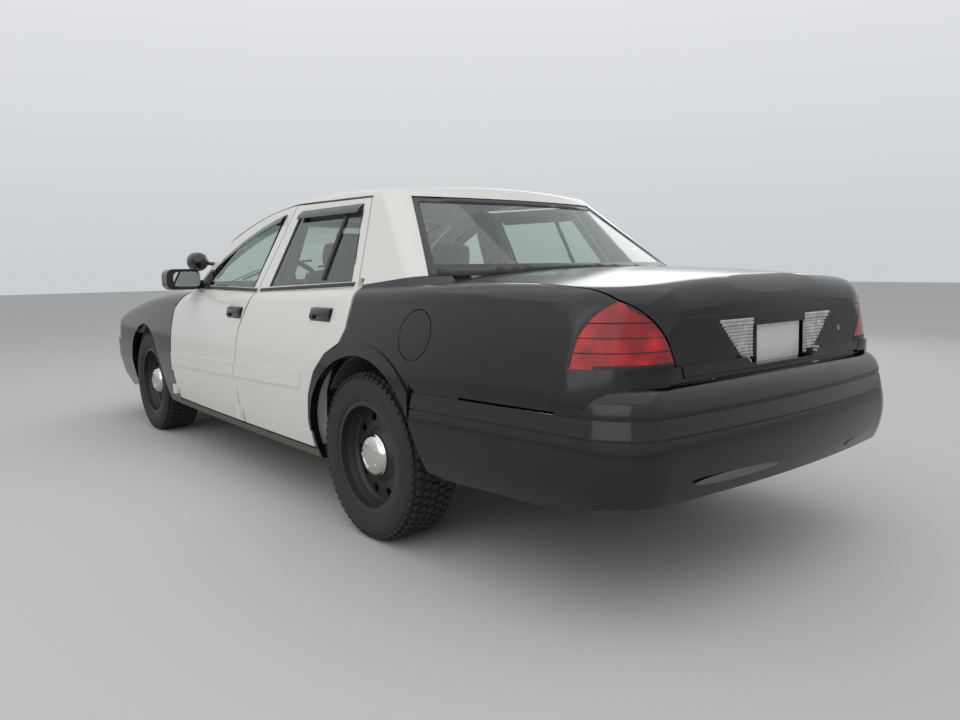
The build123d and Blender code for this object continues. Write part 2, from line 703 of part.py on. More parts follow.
gutter_inner = cross_block(grown(lid_outline, -35, Kind.ARC), -2600, lid_front_x - 35)
pieces["trunk_gutter"] = panel(gutter_sheet, keep=[gutter_outer], cut=[gutter_inner, tail_lamp_block])
pieces["radiator_support"] = panel(lower_form(skin + fit), keep=[box((2440, 2500), (-465, 465), (475 + fit, 900))])

# Frame: two side rails that kick out round the cabin and up over the rear axle
rail_half_width = 35
rail_half_height = 55
rail_path = (
    (length / 2, 400, 420), (1150, 400, 420), (850, 690, 320), (-700, 690, 320),
    (-960, 560, 520), (-1680, 560, 520), (-1900, 560, 430), (rear_rail_end_x, 560, 430),
)
plan_edge = [(x, y + rail_half_width) for x, y, z in rail_path]
plan_edge += [(x, y - rail_half_width) for x, y, z in reversed(rail_path)]
side_edge = [(x, z + rail_half_height) for x, y, z in rail_path]
side_edge += [(x, z - rail_half_height) for x, y, z in reversed(rail_path)]
with BuildPart() as frame_rail:
    add(plan_block(polygon(*plan_edge), 200, 640))
    add(side_block(polygon(*side_edge), 300, 800), mode=Mode.INTERSECT)
    add(box((front_axle_x - 70, front_axle_x + 70), (400, 436), (460, 560)))
    front_stop = box((2500, 3000), (300, 800), (300, 560))
    add(panel(front_stop, cut=[bumper_form(front_bumper_rows, bumper_thickness + fit)]), mode=Mode.SUBTRACT)
pieces["frame_rail_left"] = frame_rail.part
pieces["frame_rail_right"] = mirror(frame_rail.part, about=Plane.XZ)
engine_bottom_z = 421
lower_arm_z = 250
upper_arm_z = 500
arm_thickness = 24
# Crossmembers between the rails: rear and front x, half length, bottom and top z
crossmember_rows = (
    (2440, 2500, 365, 370, 470),
    (front_axle_x - 60, front_axle_x + 60, 435, lower_arm_z + arm_thickness, 365),
    (190, 270, 655, 270, 330),
    (-650, -590, 655, 280, 335),
    (-1720, -1680, 525, 480, 560),
    (-2560, -2510, 525, 390, 470),
)
with BuildPart() as crossmembers:
    for rear, front, half, low, high in crossmember_rows:
        add(box((rear, front), (-half, half), (low, high)))
    add(both_sides(box((front_axle_x - 40, front_axle_x + 40), (150, 250), (365, engine_bottom_z))))
pieces["crossmembers"] = crossmembers.part

# Floor, firewall, seat step, trunk floor and the inner wheel housings
floor_thickness = 8
floor_z = rail_path[2][2] + rail_half_height + floor_thickness / 2
step_z = rail_path[4][2] + rail_half_height + floor_thickness / 2
trunk_z = rail_path[6][2] + rail_half_height + floor_thickness / 2
floor_top = floor_z + floor_thickness / 2
step_top = step_z + floor_thickness / 2
firewall_x = 960
housing_wall = 8
floor_line = (
    (firewall_x, 1000), (firewall_x, 600), (848, floor_z), (-640, floor_z), (-700, step_z), (-1770, step_z),
    (-1912, trunk_z), (-2535, trunk_z),
)
# Tunnel over the driveshaft and gearbox: rear and front x, half width, top z
tunnel_rows = ((-700, 620, 100, 500), (620, firewall_x, 150, 665))
with BuildPart() as floor_pan:
    with BuildSketch(Plane.XZ):
        with BuildLine():
            Polyline(*floor_line)
            offset(amount=floor_thickness / 2, side=Side.BOTH)
        make_face()
    extrude(amount=740, both=True)
    add(lower_form(skin), mode=Mode.INTERSECT)
    for x, radius, inner_y in (
        (front_axle_x, front_well_radius, 430),
        (rear_axle_x, rear_well_radius, 632),
    ):
        add(wheel_well(x, radius, inner_y + 8), mode=Mode.SUBTRACT)
    for rear, front, half, top in tunnel_rows:
        add(box((rear, front), (-half, half), (floor_z, top)))
    for rear, front, half, top in tunnel_rows:
        inner = half - floor_thickness
        add(box((rear - 20, front + 20), (-inner, inner), (200, top - floor_thickness)), mode=Mode.SUBTRACT)
with BuildPart() as rear_housing:
    with BuildSketch(Plane.XZ.offset(-900)):
        with Locations((rear_axle_x, axle_z)):
            Circle(rear_well_radius + housing_wall)
    extrude(amount=900 - 632)
    add(rear_wells, mode=Mode.SUBTRACT)
    add(box((rear_axle_x - 500, rear_axle_x + 500), (0, 1000), (0, step_top)), mode=Mode.SUBTRACT)
    add(lower_form(skin), mode=Mode.INTERSECT)
pieces["floor_pan"] = floor_pan.part
pieces["rear_wheelhouses"] = both_sides(rear_housing.part)
with BuildPart() as front_housing:
    with BuildSketch(Plane.XZ.offset(-880)):
        with Locations((front_axle_x, axle_z)):
            Circle(front_well_radius + housing_wall)
    extrude(amount=880 - 436)
    add(front_wells, mode=Mode.SUBTRACT)
    add(box((front_axle_x - 500, front_axle_x + 500), (0, 1000), (0, 476)), mode=Mode.SUBTRACT)
    add(box((front_axle_x - 500, front_axle_x + 500), (436, 446), (640, 900)))
    add(lower_form(skin), mode=Mode.INTERSECT)
pieces["front_wheelhouses"] = both_sides(front_housing.part)

# Rockers and door posts
left_rocker_block = box((rocker_rear_x, rocker_front_x), (500, 1000), (ground_clearance, sill_z - panel_gap))
with BuildPart() as rocker:
    add(panel(body, keep=[left_rocker_block], cut=[barrel(door_thickness)]))
    add(box((rocker_rear_x, rocker_front_x), (725, 840), (ground_clearance, sill_z - panel_gap)))
    add(box((rocker_rear_x, rocker_front_x), (740, 822), (sill_z - panel_gap, floor_top)))
pieces["rockers"] = both_sides(rocker.part)
post_side = polygon(
    (-50, floor_top), (-180, floor_top), (-190, 800), (-270, belt_z), (-300, 1500), (-170, 1500),
    (-140, belt_z), (-60, 800),
)
post_front = polygon(
    (822, floor_top), (845, 600), (838, 800), (795, 960), (640, 1405), (560, 1500), (480, 1500),
    (590, 1400), (740, 960), (775, 800), (775, 600), (745, floor_top),
)
with BuildPart() as door_post:
    add(side_block(post_side, 400, 1000))
    add(cross_block(post_front, -320, 0), mode=Mode.INTERSECT)
    add(house_form(house_skin) + lower_form(0), mode=Mode.INTERSECT)
pieces["door_posts"] = both_sides(door_post.part)

# Engine as one plain block, gearbox, driveshaft, exhaust and fuel tank
engine_z = (engine_bottom_z, 850)
with BuildPart() as engine:
    add(box((1180, 1840), (-290, 290), engine_z))
    chamfer(engine.edges().filter_by(Axis.X), 40)
    add(box((700, 1180), (-130, 130), (400, 640)))
pieces["engine_block"] = engine.part
pieces["driveshaft"] = rod((698.5, 0, 420), (rear_axle_x + 150, 0, 360), 35)
with BuildPart() as exhaust:
    add(rod((1220, 220, 392), (1220, 220, engine_bottom_z), 28))
    add(rod((1220, 220, 392), (300, 420, 240), 28))
    add(rod((300, 420, 240), (-620, 420, 240), 28))
    add(rod((100, 420, 240), (-400, 420, 240), 85))
pieces["exhaust"] = both_sides(exhaust.part)

# Rear axle with its differential, front suspension arms, knuckles with their spindles
hub_face = 52 + fit
rear_hub_y = rear_track / 2 - hub_face
front_hub_y = front_track / 2 - hub_face
with BuildPart() as rear_axle:
    add(rod((rear_axle_x, -rear_hub_y, axle_z), (rear_axle_x, rear_hub_y, axle_z), 40))
    with Locations((rear_axle_x, 0, axle_z)):
        Sphere(140)
    for side in (1, -1):
        add(rod((rear_axle_x, side * 560, axle_z), (rear_axle_x, side * 560, step_z - 4 - 2 * rail_half_height), 50))
        add(rod((rear_axle_x, side * (rear_hub_y - 50), axle_z), (rear_axle_x, side * (rear_hub_y - 24), axle_z), 160))
pieces["rear_axle"] = rear_axle.part
ball_joint_radius = 20
with BuildPart() as front_arms:
    for z, half_base, inner_y in ((lower_arm_z, 170, 400), (upper_arm_z, 110, 436)):
        with BuildSketch(Plane.XY.offset(z)):
            with BuildLine():
                Polyline((front_axle_x - half_base, inner_y), (front_axle_x - 16, kingpin_y),
                         (front_axle_x + 16, kingpin_y), (front_axle_x + half_base, inner_y), close=True)
            make_face()
            with Locations((front_axle_x, kingpin_y)):
                Circle(ball_joint_radius)
        extrude(amount=arm_thickness)
pieces["front_arms"] = both_sides(front_arms.part)
disc_near_y = kingpin_y + 25
with BuildPart() as knuckle:
    add(rod((front_axle_x, kingpin_y, lower_arm_z + arm_thickness + fit),
            (front_axle_x, kingpin_y, upper_arm_z - fit), 18))
    add(rod((front_axle_x, kingpin_y, axle_z), (front_axle_x, front_hub_y, axle_z), 35))
    add(rod((front_axle_x, disc_near_y, axle_z), (front_axle_x, disc_near_y + 10, axle_z), 150))
pieces["knuckle_left"] = knuckle.part
pieces["knuckle_right"] = mirror(knuckle.part, about=Plane.XZ)

# Wheels: a dished steel disc with round holes in a rim, and a tyre
bead_radius = 218
disc_hole_count = 10
disc_hole_radius = 19
disc_hole_circle = 160
with BuildPart() as rim:
    with BuildSketch(Plane.YZ):
        with BuildLine():
            # across the wheel from its inner side to its outer side, radius upwards
            half = rim_width / 2
            flange = rim_diameter / 2
            Polyline(
                (-half, flange), (-half, bead_radius - 8), (-half + 30, bead_radius - 10), (-half + 45, 192),
                (10, 192), (20, 186), (30, hub_cap_diameter / 2 + 20), (48, hub_cap_diameter / 2),
                (48, hub_hole_diameter / 2), (40, hub_hole_diameter / 2), (40, hub_cap_diameter / 2 - 4),
                (-20, 80), (-52, 60), (-52, 0), (70, 0), (70, 60), (60, 88), (53, hub_cap_diameter / 2 + 2),
                (36, hub_cap_diameter / 2 + 24), (27, 190), (40, 198), (half - 30, bead_radius - 10),
                (half, bead_radius - 8), (half, flange), (half - 8, flange), (half - 10, bead_radius),
                (-half + 10, bead_radius), (-half + 8, flange), close=True,
            )
        make_face()
    revolve(axis=Axis.Y)
    with BuildSketch(Plane.XZ.offset(-120)):
        with PolarLocations(disc_hole_circle, disc_hole_count):
            Circle(disc_hole_radius)
    extrude(amount=120, mode=Mode.SUBTRACT)
with BuildPart() as tyre:
    with BuildSketch(Plane.YZ):
        with BuildLine():
            wide = tyre_width / 2
            outer = tyre_diameter / 2
            seat = rim_width / 2 - 10 - fit
            top = Line((-wide + 34, outer), (wide - 34, outer))
            edge = ThreePointArc(top @ 1, (wide - 12, outer - 14), (wide - 3, outer - 40))
            lip = (rim_width / 2 + 1, rim_diameter / 2 + 3)
            wall = ThreePointArc(edge @ 1, (wide, 285), lip)
            Polyline(lip, (seat, rim_diameter / 2 + 1), (seat, bead_radius + fit), (-seat, bead_radius + fit),
                     (-seat, rim_diameter / 2 + 1), (-lip[0], lip[1]))
            far_wall = ThreePointArc((-lip[0], lip[1]), (-wide, 285), (-wide + 3, outer - 40))
            ThreePointArc(far_wall @ 1, (-wide + 12, outer - 14), top @ 0)
        make_face()
    revolve(axis=Axis.Y)
for axle, x, track in (("front", front_axle_x, front_track), ("rear", rear_axle_x, rear_track)):
    for side, name in ((1, "left"), (-1, "right")):
        spot = Location((x, side * track / 2, axle_z), (0, 0, 0 if side == 1 else 180))
        pieces[f"{axle}_wheel_{name}"] = spot * rim.part
        pieces[f"{axle}_tyre_{name}"] = spot * tyre.part

# Cabin: dashboard, steering wheel, seats
with BuildPart() as dashboard:
    with BuildSketch(Plane.XZ):
        with BuildLine():
            Polyline((950, 690), (950, 985), (760, 1000), (600, 975), (560, 900), (640, 780), (700, 690), close=True)
        make_face()
    extrude(amount=735, both=True)
    add(lower_form(skin), mode=Mode.INTERSECT)
pieces["dashboard"] = dashboard.part
wheel_centre = Vector(400, 370, 985)
column_direction = Vector(-cos(radians(25)), 0, sin(radians(25)))
column_plane = Plane(wheel_centre, x_dir=(0, 1, 0), z_dir=column_direction)
steering_radius = 185
with BuildPart() as steering_wheel:
    with BuildSketch(Plane(wheel_centre, x_dir=column_direction, z_dir=(0, 1, 0))):
        with Locations((0, steering_radius)):
            Circle(15)
    revolve(axis=Axis(wheel_centre, column_direction))
    with BuildSketch(column_plane.offset(-12)):
        Rectangle(2 * steering_radius, 40)
        with Locations((0, -steering_radius / 2)):
            Rectangle(40, steering_radius)
        Circle(60)
    extrude(amount=18)
    with BuildSketch(column_plane.offset(-12)):
        Circle(28)
    extrude(amount=-140)
pieces["steering_wheel"] = steering_wheel.part
with BuildPart() as column:
    with BuildSketch(column_plane.offset(-152 - fit)):
        Circle(38)
    extrude(amount=-120)
    add(dashboard.part, mode=Mode.SUBTRACT)
pieces["steering_column"] = column.part
seat_rows = ((370, 260), (-370, 260))
with BuildPart() as front_seats:
    for y, half in seat_rows:
        with BuildSketch(Plane.XZ.offset(-y - half)):
            with BuildLine():
                Polyline((400, floor_top + fit), (420, 600), (380, 640), (-60, 620), (-150, 1130), (-200, 1260),
                         (-270, 1250), (-260, 1130), (-230, 560), (-200, floor_top + fit), close=True)
            make_face()
        extrude(amount=2 * half)
pieces["front_seats"] = front_seats.part
with BuildPart() as rear_seat:
    with BuildSketch(Plane.XZ):
        with BuildLine():
            Polyline((-560, floor_top + fit), (-560, 640), (-980, 610), (-1120, 1000), (-1230, 1000),
                     (-1120, step_top + fit), (-696.5, step_top + fit), (-636.5, floor_top + fit), close=True)
        make_face()
    extrude(amount=620, both=True)
    add(box((-720, -500), (-100 - fit, 100 + fit), (300, 500 + fit)), mode=Mode.SUBTRACT)
pieces["rear_seat"] = rear_seat.part

# Door mirrors and the spotlight on the left windshield pillar
with BuildPart() as mirror_left:
    with BuildSketch(Plane.YZ.offset(500)):
        with Locations((1015, 1058)):
            RectangleRounded(190, 118, 40)
    extrude(amount=120)
    fillet(mirror_left.faces().sort_by(Axis.X)[-1].edges(), 35)
    add(box((580, 640), (850, 960), (1000, 1050)))
pieces["mirror_left"] = panel(mirror_left.part, cut=[house, body])
pieces["mirror_right"] = mirror(pieces["mirror_left"], about=Plane.XZ)
spotlight_centre = (672, 862, 1160)
with BuildPart() as spotlight:
    with BuildSketch(Plane.XZ.offset(-spotlight_centre[1])):
        with BuildLine():
            lens_x = spotlight_centre[0] + 48
            back = ThreePointArc((lens_x - 112, spotlight_centre[2]), (lens_x - 88, spotlight_centre[2] + 38),
                                 (lens_x - 30, spotlight_centre[2] + 54))
            Polyline(back @ 1, (lens_x, spotlight_centre[2] + 57), (lens_x, spotlight_centre[2]), back @ 0)
        make_face()
    revolve(axis=Axis(spotlight_centre, (1, 0, 0)))
    add(rod(spotlight_centre, (612, 760, 1138), 11))
pieces["spotlight"] = panel(spotlight.part, cut=[house])

for name, piece in pieces.items():
    piece.label = name
    export_step(piece, f"parts/{name}.step")
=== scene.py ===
# %% [markdown]
# # A patrol car, dressed step by step
# The solid model of the car is already finished in CAD. This lesson gives it its looks: the camera and
# the light first, then paint, glass, rubber and metal, and last the small pieces that the solids leave
# out, such as the tread, the lamp ribs and the seat covers. Every length is in metres, +X is forward,
# +Y is the driver's left and +Z is up.

# %% Load the car
import json
import math

import bmesh
import bpy
from mathutils import Matrix, Vector
from mathutils.bvhtree import BVHTree


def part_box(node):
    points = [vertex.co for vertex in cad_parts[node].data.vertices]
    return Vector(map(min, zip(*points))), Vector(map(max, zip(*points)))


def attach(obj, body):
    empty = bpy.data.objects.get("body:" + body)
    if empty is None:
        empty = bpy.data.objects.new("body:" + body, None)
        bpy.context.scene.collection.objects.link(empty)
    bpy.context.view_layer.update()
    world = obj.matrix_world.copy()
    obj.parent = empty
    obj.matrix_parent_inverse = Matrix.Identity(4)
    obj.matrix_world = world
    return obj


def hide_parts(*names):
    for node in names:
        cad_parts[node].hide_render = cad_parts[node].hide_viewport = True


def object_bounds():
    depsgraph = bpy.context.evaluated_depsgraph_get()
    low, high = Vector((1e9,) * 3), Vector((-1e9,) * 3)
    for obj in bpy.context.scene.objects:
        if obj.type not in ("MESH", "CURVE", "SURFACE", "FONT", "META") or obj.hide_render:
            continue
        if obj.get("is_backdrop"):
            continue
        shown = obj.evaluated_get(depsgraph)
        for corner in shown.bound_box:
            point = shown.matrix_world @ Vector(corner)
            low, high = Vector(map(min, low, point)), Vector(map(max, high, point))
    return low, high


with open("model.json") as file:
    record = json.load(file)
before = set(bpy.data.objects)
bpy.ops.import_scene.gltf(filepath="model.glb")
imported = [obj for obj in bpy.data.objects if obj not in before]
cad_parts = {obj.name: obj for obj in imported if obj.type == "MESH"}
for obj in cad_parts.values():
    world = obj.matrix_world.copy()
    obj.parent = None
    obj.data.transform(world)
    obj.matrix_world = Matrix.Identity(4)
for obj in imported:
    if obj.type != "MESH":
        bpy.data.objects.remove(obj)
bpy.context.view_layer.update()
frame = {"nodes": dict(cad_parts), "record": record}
nodes = frame["nodes"]

# %% [markdown]
# ## The camera
# The photograph was taken from behind the left rear corner, about a metre above the ground. Its place and
# its angles were solved from points with known places on the car, such as the wheels, the window corners
# and the lamps. A camera looks along its own -Z, so its three axes are written as the columns of a matrix.

# %% Camera at the photograph's viewing angle
PHOTO_WIDTH, PHOTO_HEIGHT = 960, 720
FOCAL_PIXELS = 768.15
CAMERA_PLACE = Vector((-3.9968, 2.5163, 1.1108))
YAW, PITCH, ROLL = -0.68714, -0.1215, -0.01317

look = Vector((math.cos(PITCH) * math.cos(YAW), math.cos(PITCH) * math.sin(YAW), math.sin(PITCH)))
level = Vector((math.sin(YAW), -math.cos(YAW), 0))
upright = level.cross(look)
right = level * math.cos(ROLL) + upright * math.sin(ROLL)
above = upright * math.cos(ROLL) - level * math.sin(ROLL)

camera_data = bpy.data.cameras.new("photo_camera")
camera_data.sensor_width = 36
camera_data.lens = FOCAL_PIXELS / PHOTO_WIDTH * camera_data.sensor_width
camera_data.clip_end = 200
camera = bpy.data.objects.new("photo_camera", camera_data)
bpy.context.scene.collection.objects.link(camera)
camera.matrix_world = Matrix.Translation(CAMERA_PLACE) @ Matrix((right, above, -look)).transposed().to_4x4()
bpy.context.scene.camera = camera
print("lens", round(camera_data.lens, 2), "mm")

# %% [markdown]
# ## Floor and light
# A car is mostly a mirror, so what stands round it matters as much as its paint. Even daylight is made here
# by a pale world that grows brighter overhead, with wide soft lamps above. The floor is pale and plain, and
# keeps the car's shadow.

# %% Floor
FLOOR_HALF = 40
bm = bmesh.new()
bmesh.ops.create_grid(bm, x_segments=1, y_segments=1, size=FLOOR_HALF)
floor_mesh = bpy.data.meshes.new("studio_floor")
bm.to_mesh(floor_mesh)
bm.free()
floor = bpy.data.objects.new("studio_floor", floor_mesh)
bpy.context.scene.collection.objects.link(floor)
floor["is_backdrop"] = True

# %% [markdown]
# ## Writing node trees
# A material is a tree of nodes that would be joined by hand in the editor. A few short functions add the
# nodes that this car's finishes need again and again: sums, colour mixes, noise and bump.


# %% Helpers for shader nodes
def new_material(name):
    material = bpy.data.materials.new(name)
    material.use_nodes = True
    tree = material.node_tree
    return material, tree, tree.nodes["Principled BSDF"]


def link(tree, source, target):
    tree.links.new(source, target)


def add_node(tree, kind, **settings):
    made = tree.nodes.new(kind)
    for key, value in settings.items():
        setattr(made, key, value)
    return made


def feed(tree, value, socket):
    # a number or a colour is set on the socket, and another socket is linked to it
    if isinstance(value, (int, float)):
        socket.default_value = value
    elif isinstance(value, tuple):
        socket.default_value = (*value, 1)
    else:
        link(tree, value, socket)


def math_node(tree, operation, *values):
    made = add_node(tree, "ShaderNodeMath", operation=operation)
    for value, socket in zip(values, made.inputs):
        feed(tree, value, socket)
    return made.outputs[0]


def mix_colour(tree, factor, low, high):
    made = add_node(tree, "ShaderNodeMix", data_type="RGBA")
    for value, index in ((factor, 0), (low, 6), (high, 7)):
        feed(tree, value, made.inputs[index])
    return made.outputs[2]


def object_place(tree):
    return add_node(tree, "ShaderNodeTexCoord").outputs["Object"]


def noise(tree, place, scale, detail=3, roughness=0.5):
    made = add_node(tree, "ShaderNodeTexNoise")
    made.inputs["Scale"].default_value = scale
    made.inputs["Detail"].default_value = detail
    made.inputs["Roughness"].default_value = roughness
    link(tree, place, made.inputs["Vector"])
    return made.outputs["Fac"]


def bump(tree, shader, height, distance, strength=1.0):
    made = add_node(tree, "ShaderNodeBump")
    made.inputs["Strength"].default_value = strength
    made.inputs["Distance"].default_value = distance
    link(tree, height, made.inputs["Height"])
    link(tree, made.outputs["Normal"], shader.inputs["Normal"])


# %% [markdown]
# ## Floor, world and lamps
# The floor is matt. The world shows at full strength, also in reflections, but it lights the car at about
# half of that, so that the lamps shape the shadows. They are large and low in power, to be gentle on white.

# %% Floor finish
floor_paint, tree, shader = new_material("studio_floor")
shader.inputs["Base Color"].default_value = (0.66, 0.67, 0.65, 1)
shader.inputs["Roughness"].default_value = 0.85
floor_mesh.materials.append(floor_paint)

# %% World
world = bpy.data.worlds.new("overcast")
bpy.context.scene.world = world
world.use_nodes = True
tree = world.node_tree
background = tree.nodes["Background"]
sky_place = add_node(tree, "ShaderNodeTexCoord").outputs["Generated"]
sky_height = add_node(tree, "ShaderNodeSeparateXYZ")
link(tree, sky_place, sky_height.inputs[0])
sky = add_node(tree, "ShaderNodeValToRGB")
horizon, zenith = sky.color_ramp.elements
horizon.position, horizon.color = 0.0, (0.60, 0.62, 0.64, 1)
zenith.position, zenith.color = 0.5, (0.86, 0.87, 0.90, 1)
link(tree, sky_height.outputs["Z"], sky.inputs[0])
WORLD_LIGHT = 0.55
ray = add_node(tree, "ShaderNodeLightPath")
seen = math_node(tree, "MAXIMUM", ray.outputs["Is Camera Ray"], ray.outputs["Is Glossy Ray"])
seen = math_node(tree, "MAXIMUM", seen, ray.outputs["Is Transmission Ray"])
strength = math_node(tree, "ADD", math_node(tree, "MULTIPLY", seen, 1 - WORLD_LIGHT), WORLD_LIGHT)
link(tree, sky.outputs["Color"], background.inputs["Color"])
link(tree, strength, background.inputs["Strength"])

# %% Soft lamps
CAR_MIDDLE = Vector((0, 0, 0.6))
# name: place, size, power in watts
LAMPS = {
    "overhead": ((-1.0, 1.0, 6.5), (12, 9), 165),
    "left_side": ((-4.5, 6.5, 4.0), (9, 5), 130),
    "right_side": ((3.5, -7.0, 4.0), (6, 3), 90),
}
for name, (place, size, power) in LAMPS.items():
    data = bpy.data.lights.new(name, "AREA")
    data.shape = "RECTANGLE"
    data.size, data.size_y = size
    data.energy = power
    lamp = bpy.data.objects.new(name, data)
    bpy.context.scene.collection.objects.link(lamp)
    lamp.location = place
    lamp.rotation_euler = (CAR_MIDDLE - Vector(place)).to_track_quat("-Z", "Y").to_euler()
bpy.context.scene.view_settings.view_transform = "Standard"
print(len(LAMPS), "soft lamps")

# %% [markdown]
# ## Effects that several finishes share
# Paint, plastic and rubber differ in colour, but dust settles on all of them, and most moulded surfaces have
# a fine grain. Each such effect is a node group with its own inputs, built once and set in each material.


# %% Node groups
def new_group(name, inputs, outputs):
    group = bpy.data.node_groups.new(name, "ShaderNodeTree")
    for label, kind, value in inputs:
        socket = group.interface.new_socket(label, in_out="INPUT", socket_type=kind)
        socket.default_value = value
    for label, kind in outputs:
        group.interface.new_socket(label, in_out="OUTPUT", socket_type=kind)
    return group, group.nodes.new("NodeGroupInput"), group.nodes.new("NodeGroupOutput")


def place_group(tree, group, **values):
    made = add_node(tree, "ShaderNodeGroup", node_tree=group)
    for label, value in values.items():
        feed(tree, value, made.inputs[label])
    return made


# Road dust: thick near the ground, thin and patchy higher up
LEAST_DUST, PATCH_SCALE, SPECK_SCALE, DUST_ROUGHNESS = 0.12, 3.5, 90, 0.7
road_dust, group_in, group_out = new_group(
    "road_dust",
    [("Base", "NodeSocketColor", (0, 0, 0, 1)), ("Dust", "NodeSocketColor", (0.2, 0.18, 0.15, 1)),
     ("Amount", "NodeSocketFloat", 0.3), ("Reach", "NodeSocketFloat", 0.5),
     ("Gloss", "NodeSocketFloat", 0.1)],
    [("Color", "NodeSocketColor"), ("Roughness", "NodeSocketFloat")],
)
place = object_place(road_dust)
split = add_node(road_dust, "ShaderNodeSeparateXYZ")
link(road_dust, place, split.inputs[0])
low = math_node(road_dust, "DIVIDE", split.outputs["Z"], group_in.outputs["Reach"])
low = math_node(road_dust, "SUBTRACT", 1.0, low)
low = math_node(road_dust, "MAXIMUM", low, LEAST_DUST)
patches = noise(road_dust, place, PATCH_SCALE, 6, 0.65)
specks = noise(road_dust, place, SPECK_SCALE, 4, 0.7)
cover = math_node(road_dust, "MULTIPLY", math_node(road_dust, "ADD", patches, specks), low)
cover = math_node(road_dust, "MULTIPLY", cover, group_in.outputs["Amount"])
cover = math_node(road_dust, "MINIMUM", cover, 1.0)
link(road_dust, mix_colour(road_dust, cover, group_in.outputs["Base"], group_in.outputs["Dust"]),
     group_out.inputs["Color"])
rough = math_node(road_dust, "MULTIPLY", cover, DUST_ROUGHNESS)
rough = math_node(road_dust, "ADD", rough, group_in.outputs["Gloss"])
link(road_dust, rough, group_out.inputs["Roughness"])

# Fine grain of a moulded or sprayed surface
fine_grain, group_in, group_out = new_group(
    "fine_grain", [("Size", "NodeSocketFloat", 400.0)], [("Height", "NodeSocketFloat")],
)
place = object_place(fine_grain)
grain = add_node(fine_grain, "ShaderNodeTexVoronoi")
link(fine_grain, place, grain.inputs["Vector"])
link(fine_grain, group_in.outputs["Size"], grain.inputs["Scale"])
link(fine_grain, grain.outputs["Distance"], group_out.inputs["Height"])
print("node groups", [group.name for group in (road_dust, fine_grain)])

# %% [markdown]
# ## Paint, plastic, rubber and metal
# One function makes the sprayed and moulded finishes from a table: a base colour under road dust, a gloss,
# a grain that only bends the reflections, and a clear coat where the real surface has one.


# %% Finishes from a table
COAT_ROUGHNESS = 0.05


def dusted(tree, shader, **values):
    dusty = place_group(tree, road_dust, **values)
    for label, socket in (("Color", "Base Color"), ("Roughness", "Roughness")):
        link(tree, dusty.outputs[label], shader.inputs[socket])


def grained(tree, shader, size, depth):
    bump(tree, shader, place_group(tree, fine_grain, Size=size).outputs["Height"], depth)


def coated(name, colour, gloss, coat, dust, reach, grain_size, grain_depth, metallic):
    material, tree, shader = new_material(name)
    dusted(tree, shader, Base=colour, Amount=dust, Reach=reach, Gloss=gloss)
    shader.inputs["Coat Weight"].default_value = coat
    shader.inputs["Coat Roughness"].default_value = COAT_ROUGHNESS
    shader.inputs["Metallic"].default_value = metallic
    if grain_size:
        grained(tree, shader, grain_size, grain_depth)
    return material


# name: colour, gloss, clear coat, dust, dust height, grain size, grain depth, metallic
FINISH_ROWS = {
    "black_paint": ((0.006, 0.006, 0.007), 0.13, 0.0, 0.035, 0.75, 0, 0, 0),
    "white_paint": ((0.80, 0.79, 0.745), 0.25, 0.25, 0.07, 0.45, 0, 0, 0),
    # a grey lighter than the black paint, a painted highlight for the bumper swellings
    "painted_highlight_grey": ((0.10, 0.10, 0.10), 0.24, 0.0, 0.05, 0.75, 0, 0, 0),
    "trim_plastic": ((0.022, 0.022, 0.024), 0.42, 0, 0.25, 0.6, 700, 0.0004, 0),
    "mirror_plastic": ((0.009, 0.009, 0.010), 0.20, 0.2, 0.05, 0.6, 0, 0, 0),
    "black_rubber": ((0.010, 0.010, 0.010), 0.45, 0, 0.10, 0.6, 600, 0.0002, 0),
    "smoked_plastic": ((0.020, 0.022, 0.021), 0.12, 0.0, 0.05, 0.6, 0, 0, 0),
    "window_border": ((0.008, 0.008, 0.008), 0.30, 0, 0.0, 0.6, 0, 0, 0),
    "plate_white": ((0.72, 0.72, 0.70), 0.35, 0.2, 0.06, 0.9, 0, 0, 0),
    "bright_metal": ((0.62, 0.61, 0.58), 0.12, 0, 0.10, 0.6, 0, 0, 1.0),
    "bright_edge": ((0.30, 0.30, 0.30), 0.22, 0, 0.05, 0.6, 0, 0, 0.9),
    "chassis_steel": ((0.03, 0.03, 0.03), 0.5, 0, 0.9, 0.9, 200, 0.0006, 0.2),
    "floor_metal": ((0.06, 0.06, 0.06), 0.55, 0, 0.8, 0.9, 260, 0.0006, 0),
    "axle_iron": ((0.10, 0.085, 0.075), 0.62, 0, 0.9, 0.9, 150, 0.0008, 0.6),
    "exhaust_steel": ((0.30, 0.27, 0.24), 0.42, 0, 0.6, 0.6, 220, 0.0003, 0.9),
    "rim_paint": ((0.010, 0.010, 0.011), 0.38, 0.0, 0.14, 0.8, 500, 0.0003, 0),
}
finishes = {name: coated(name, *row) for name, row in FINISH_ROWS.items()}
print(len(finishes), "coated finishes")

# %% [markdown]
# ## Glass
# The car's windows have a slight green tint. Real glass lets the light into the cabin, so shadow rays go
# straight through it, while the eye sees the tint and the reflection.


# %% Window glass
GLASS_IOR, WINDOW_TINT = 1.45, (0.66, 0.75, 0.71)


def glass(name, tint):
    material, tree, shader = new_material(name)
    shader.inputs["Base Color"].default_value = (*tint, 1)
    shader.inputs["Roughness"].default_value = 0.0
    shader.inputs["IOR"].default_value = GLASS_IOR
    shader.inputs["Transmission Weight"].default_value = 1.0
    clear = add_node(tree, "ShaderNodeBsdfTransparent")
    clear.inputs["Color"].default_value = (*tint, 1)
    ray = add_node(tree, "ShaderNodeLightPath")
    mixed = add_node(tree, "ShaderNodeMixShader")
    link(tree, ray.outputs["Is Shadow Ray"], mixed.inputs[0])
    link(tree, shader.outputs[0], mixed.inputs[1])
    link(tree, clear.outputs[0], mixed.inputs[2])
    link(tree, mixed.outputs[0], tree.nodes["Material Output"].inputs["Surface"])
    return material


finishes["glass_tint"] = glass("glass_tint", WINDOW_TINT)

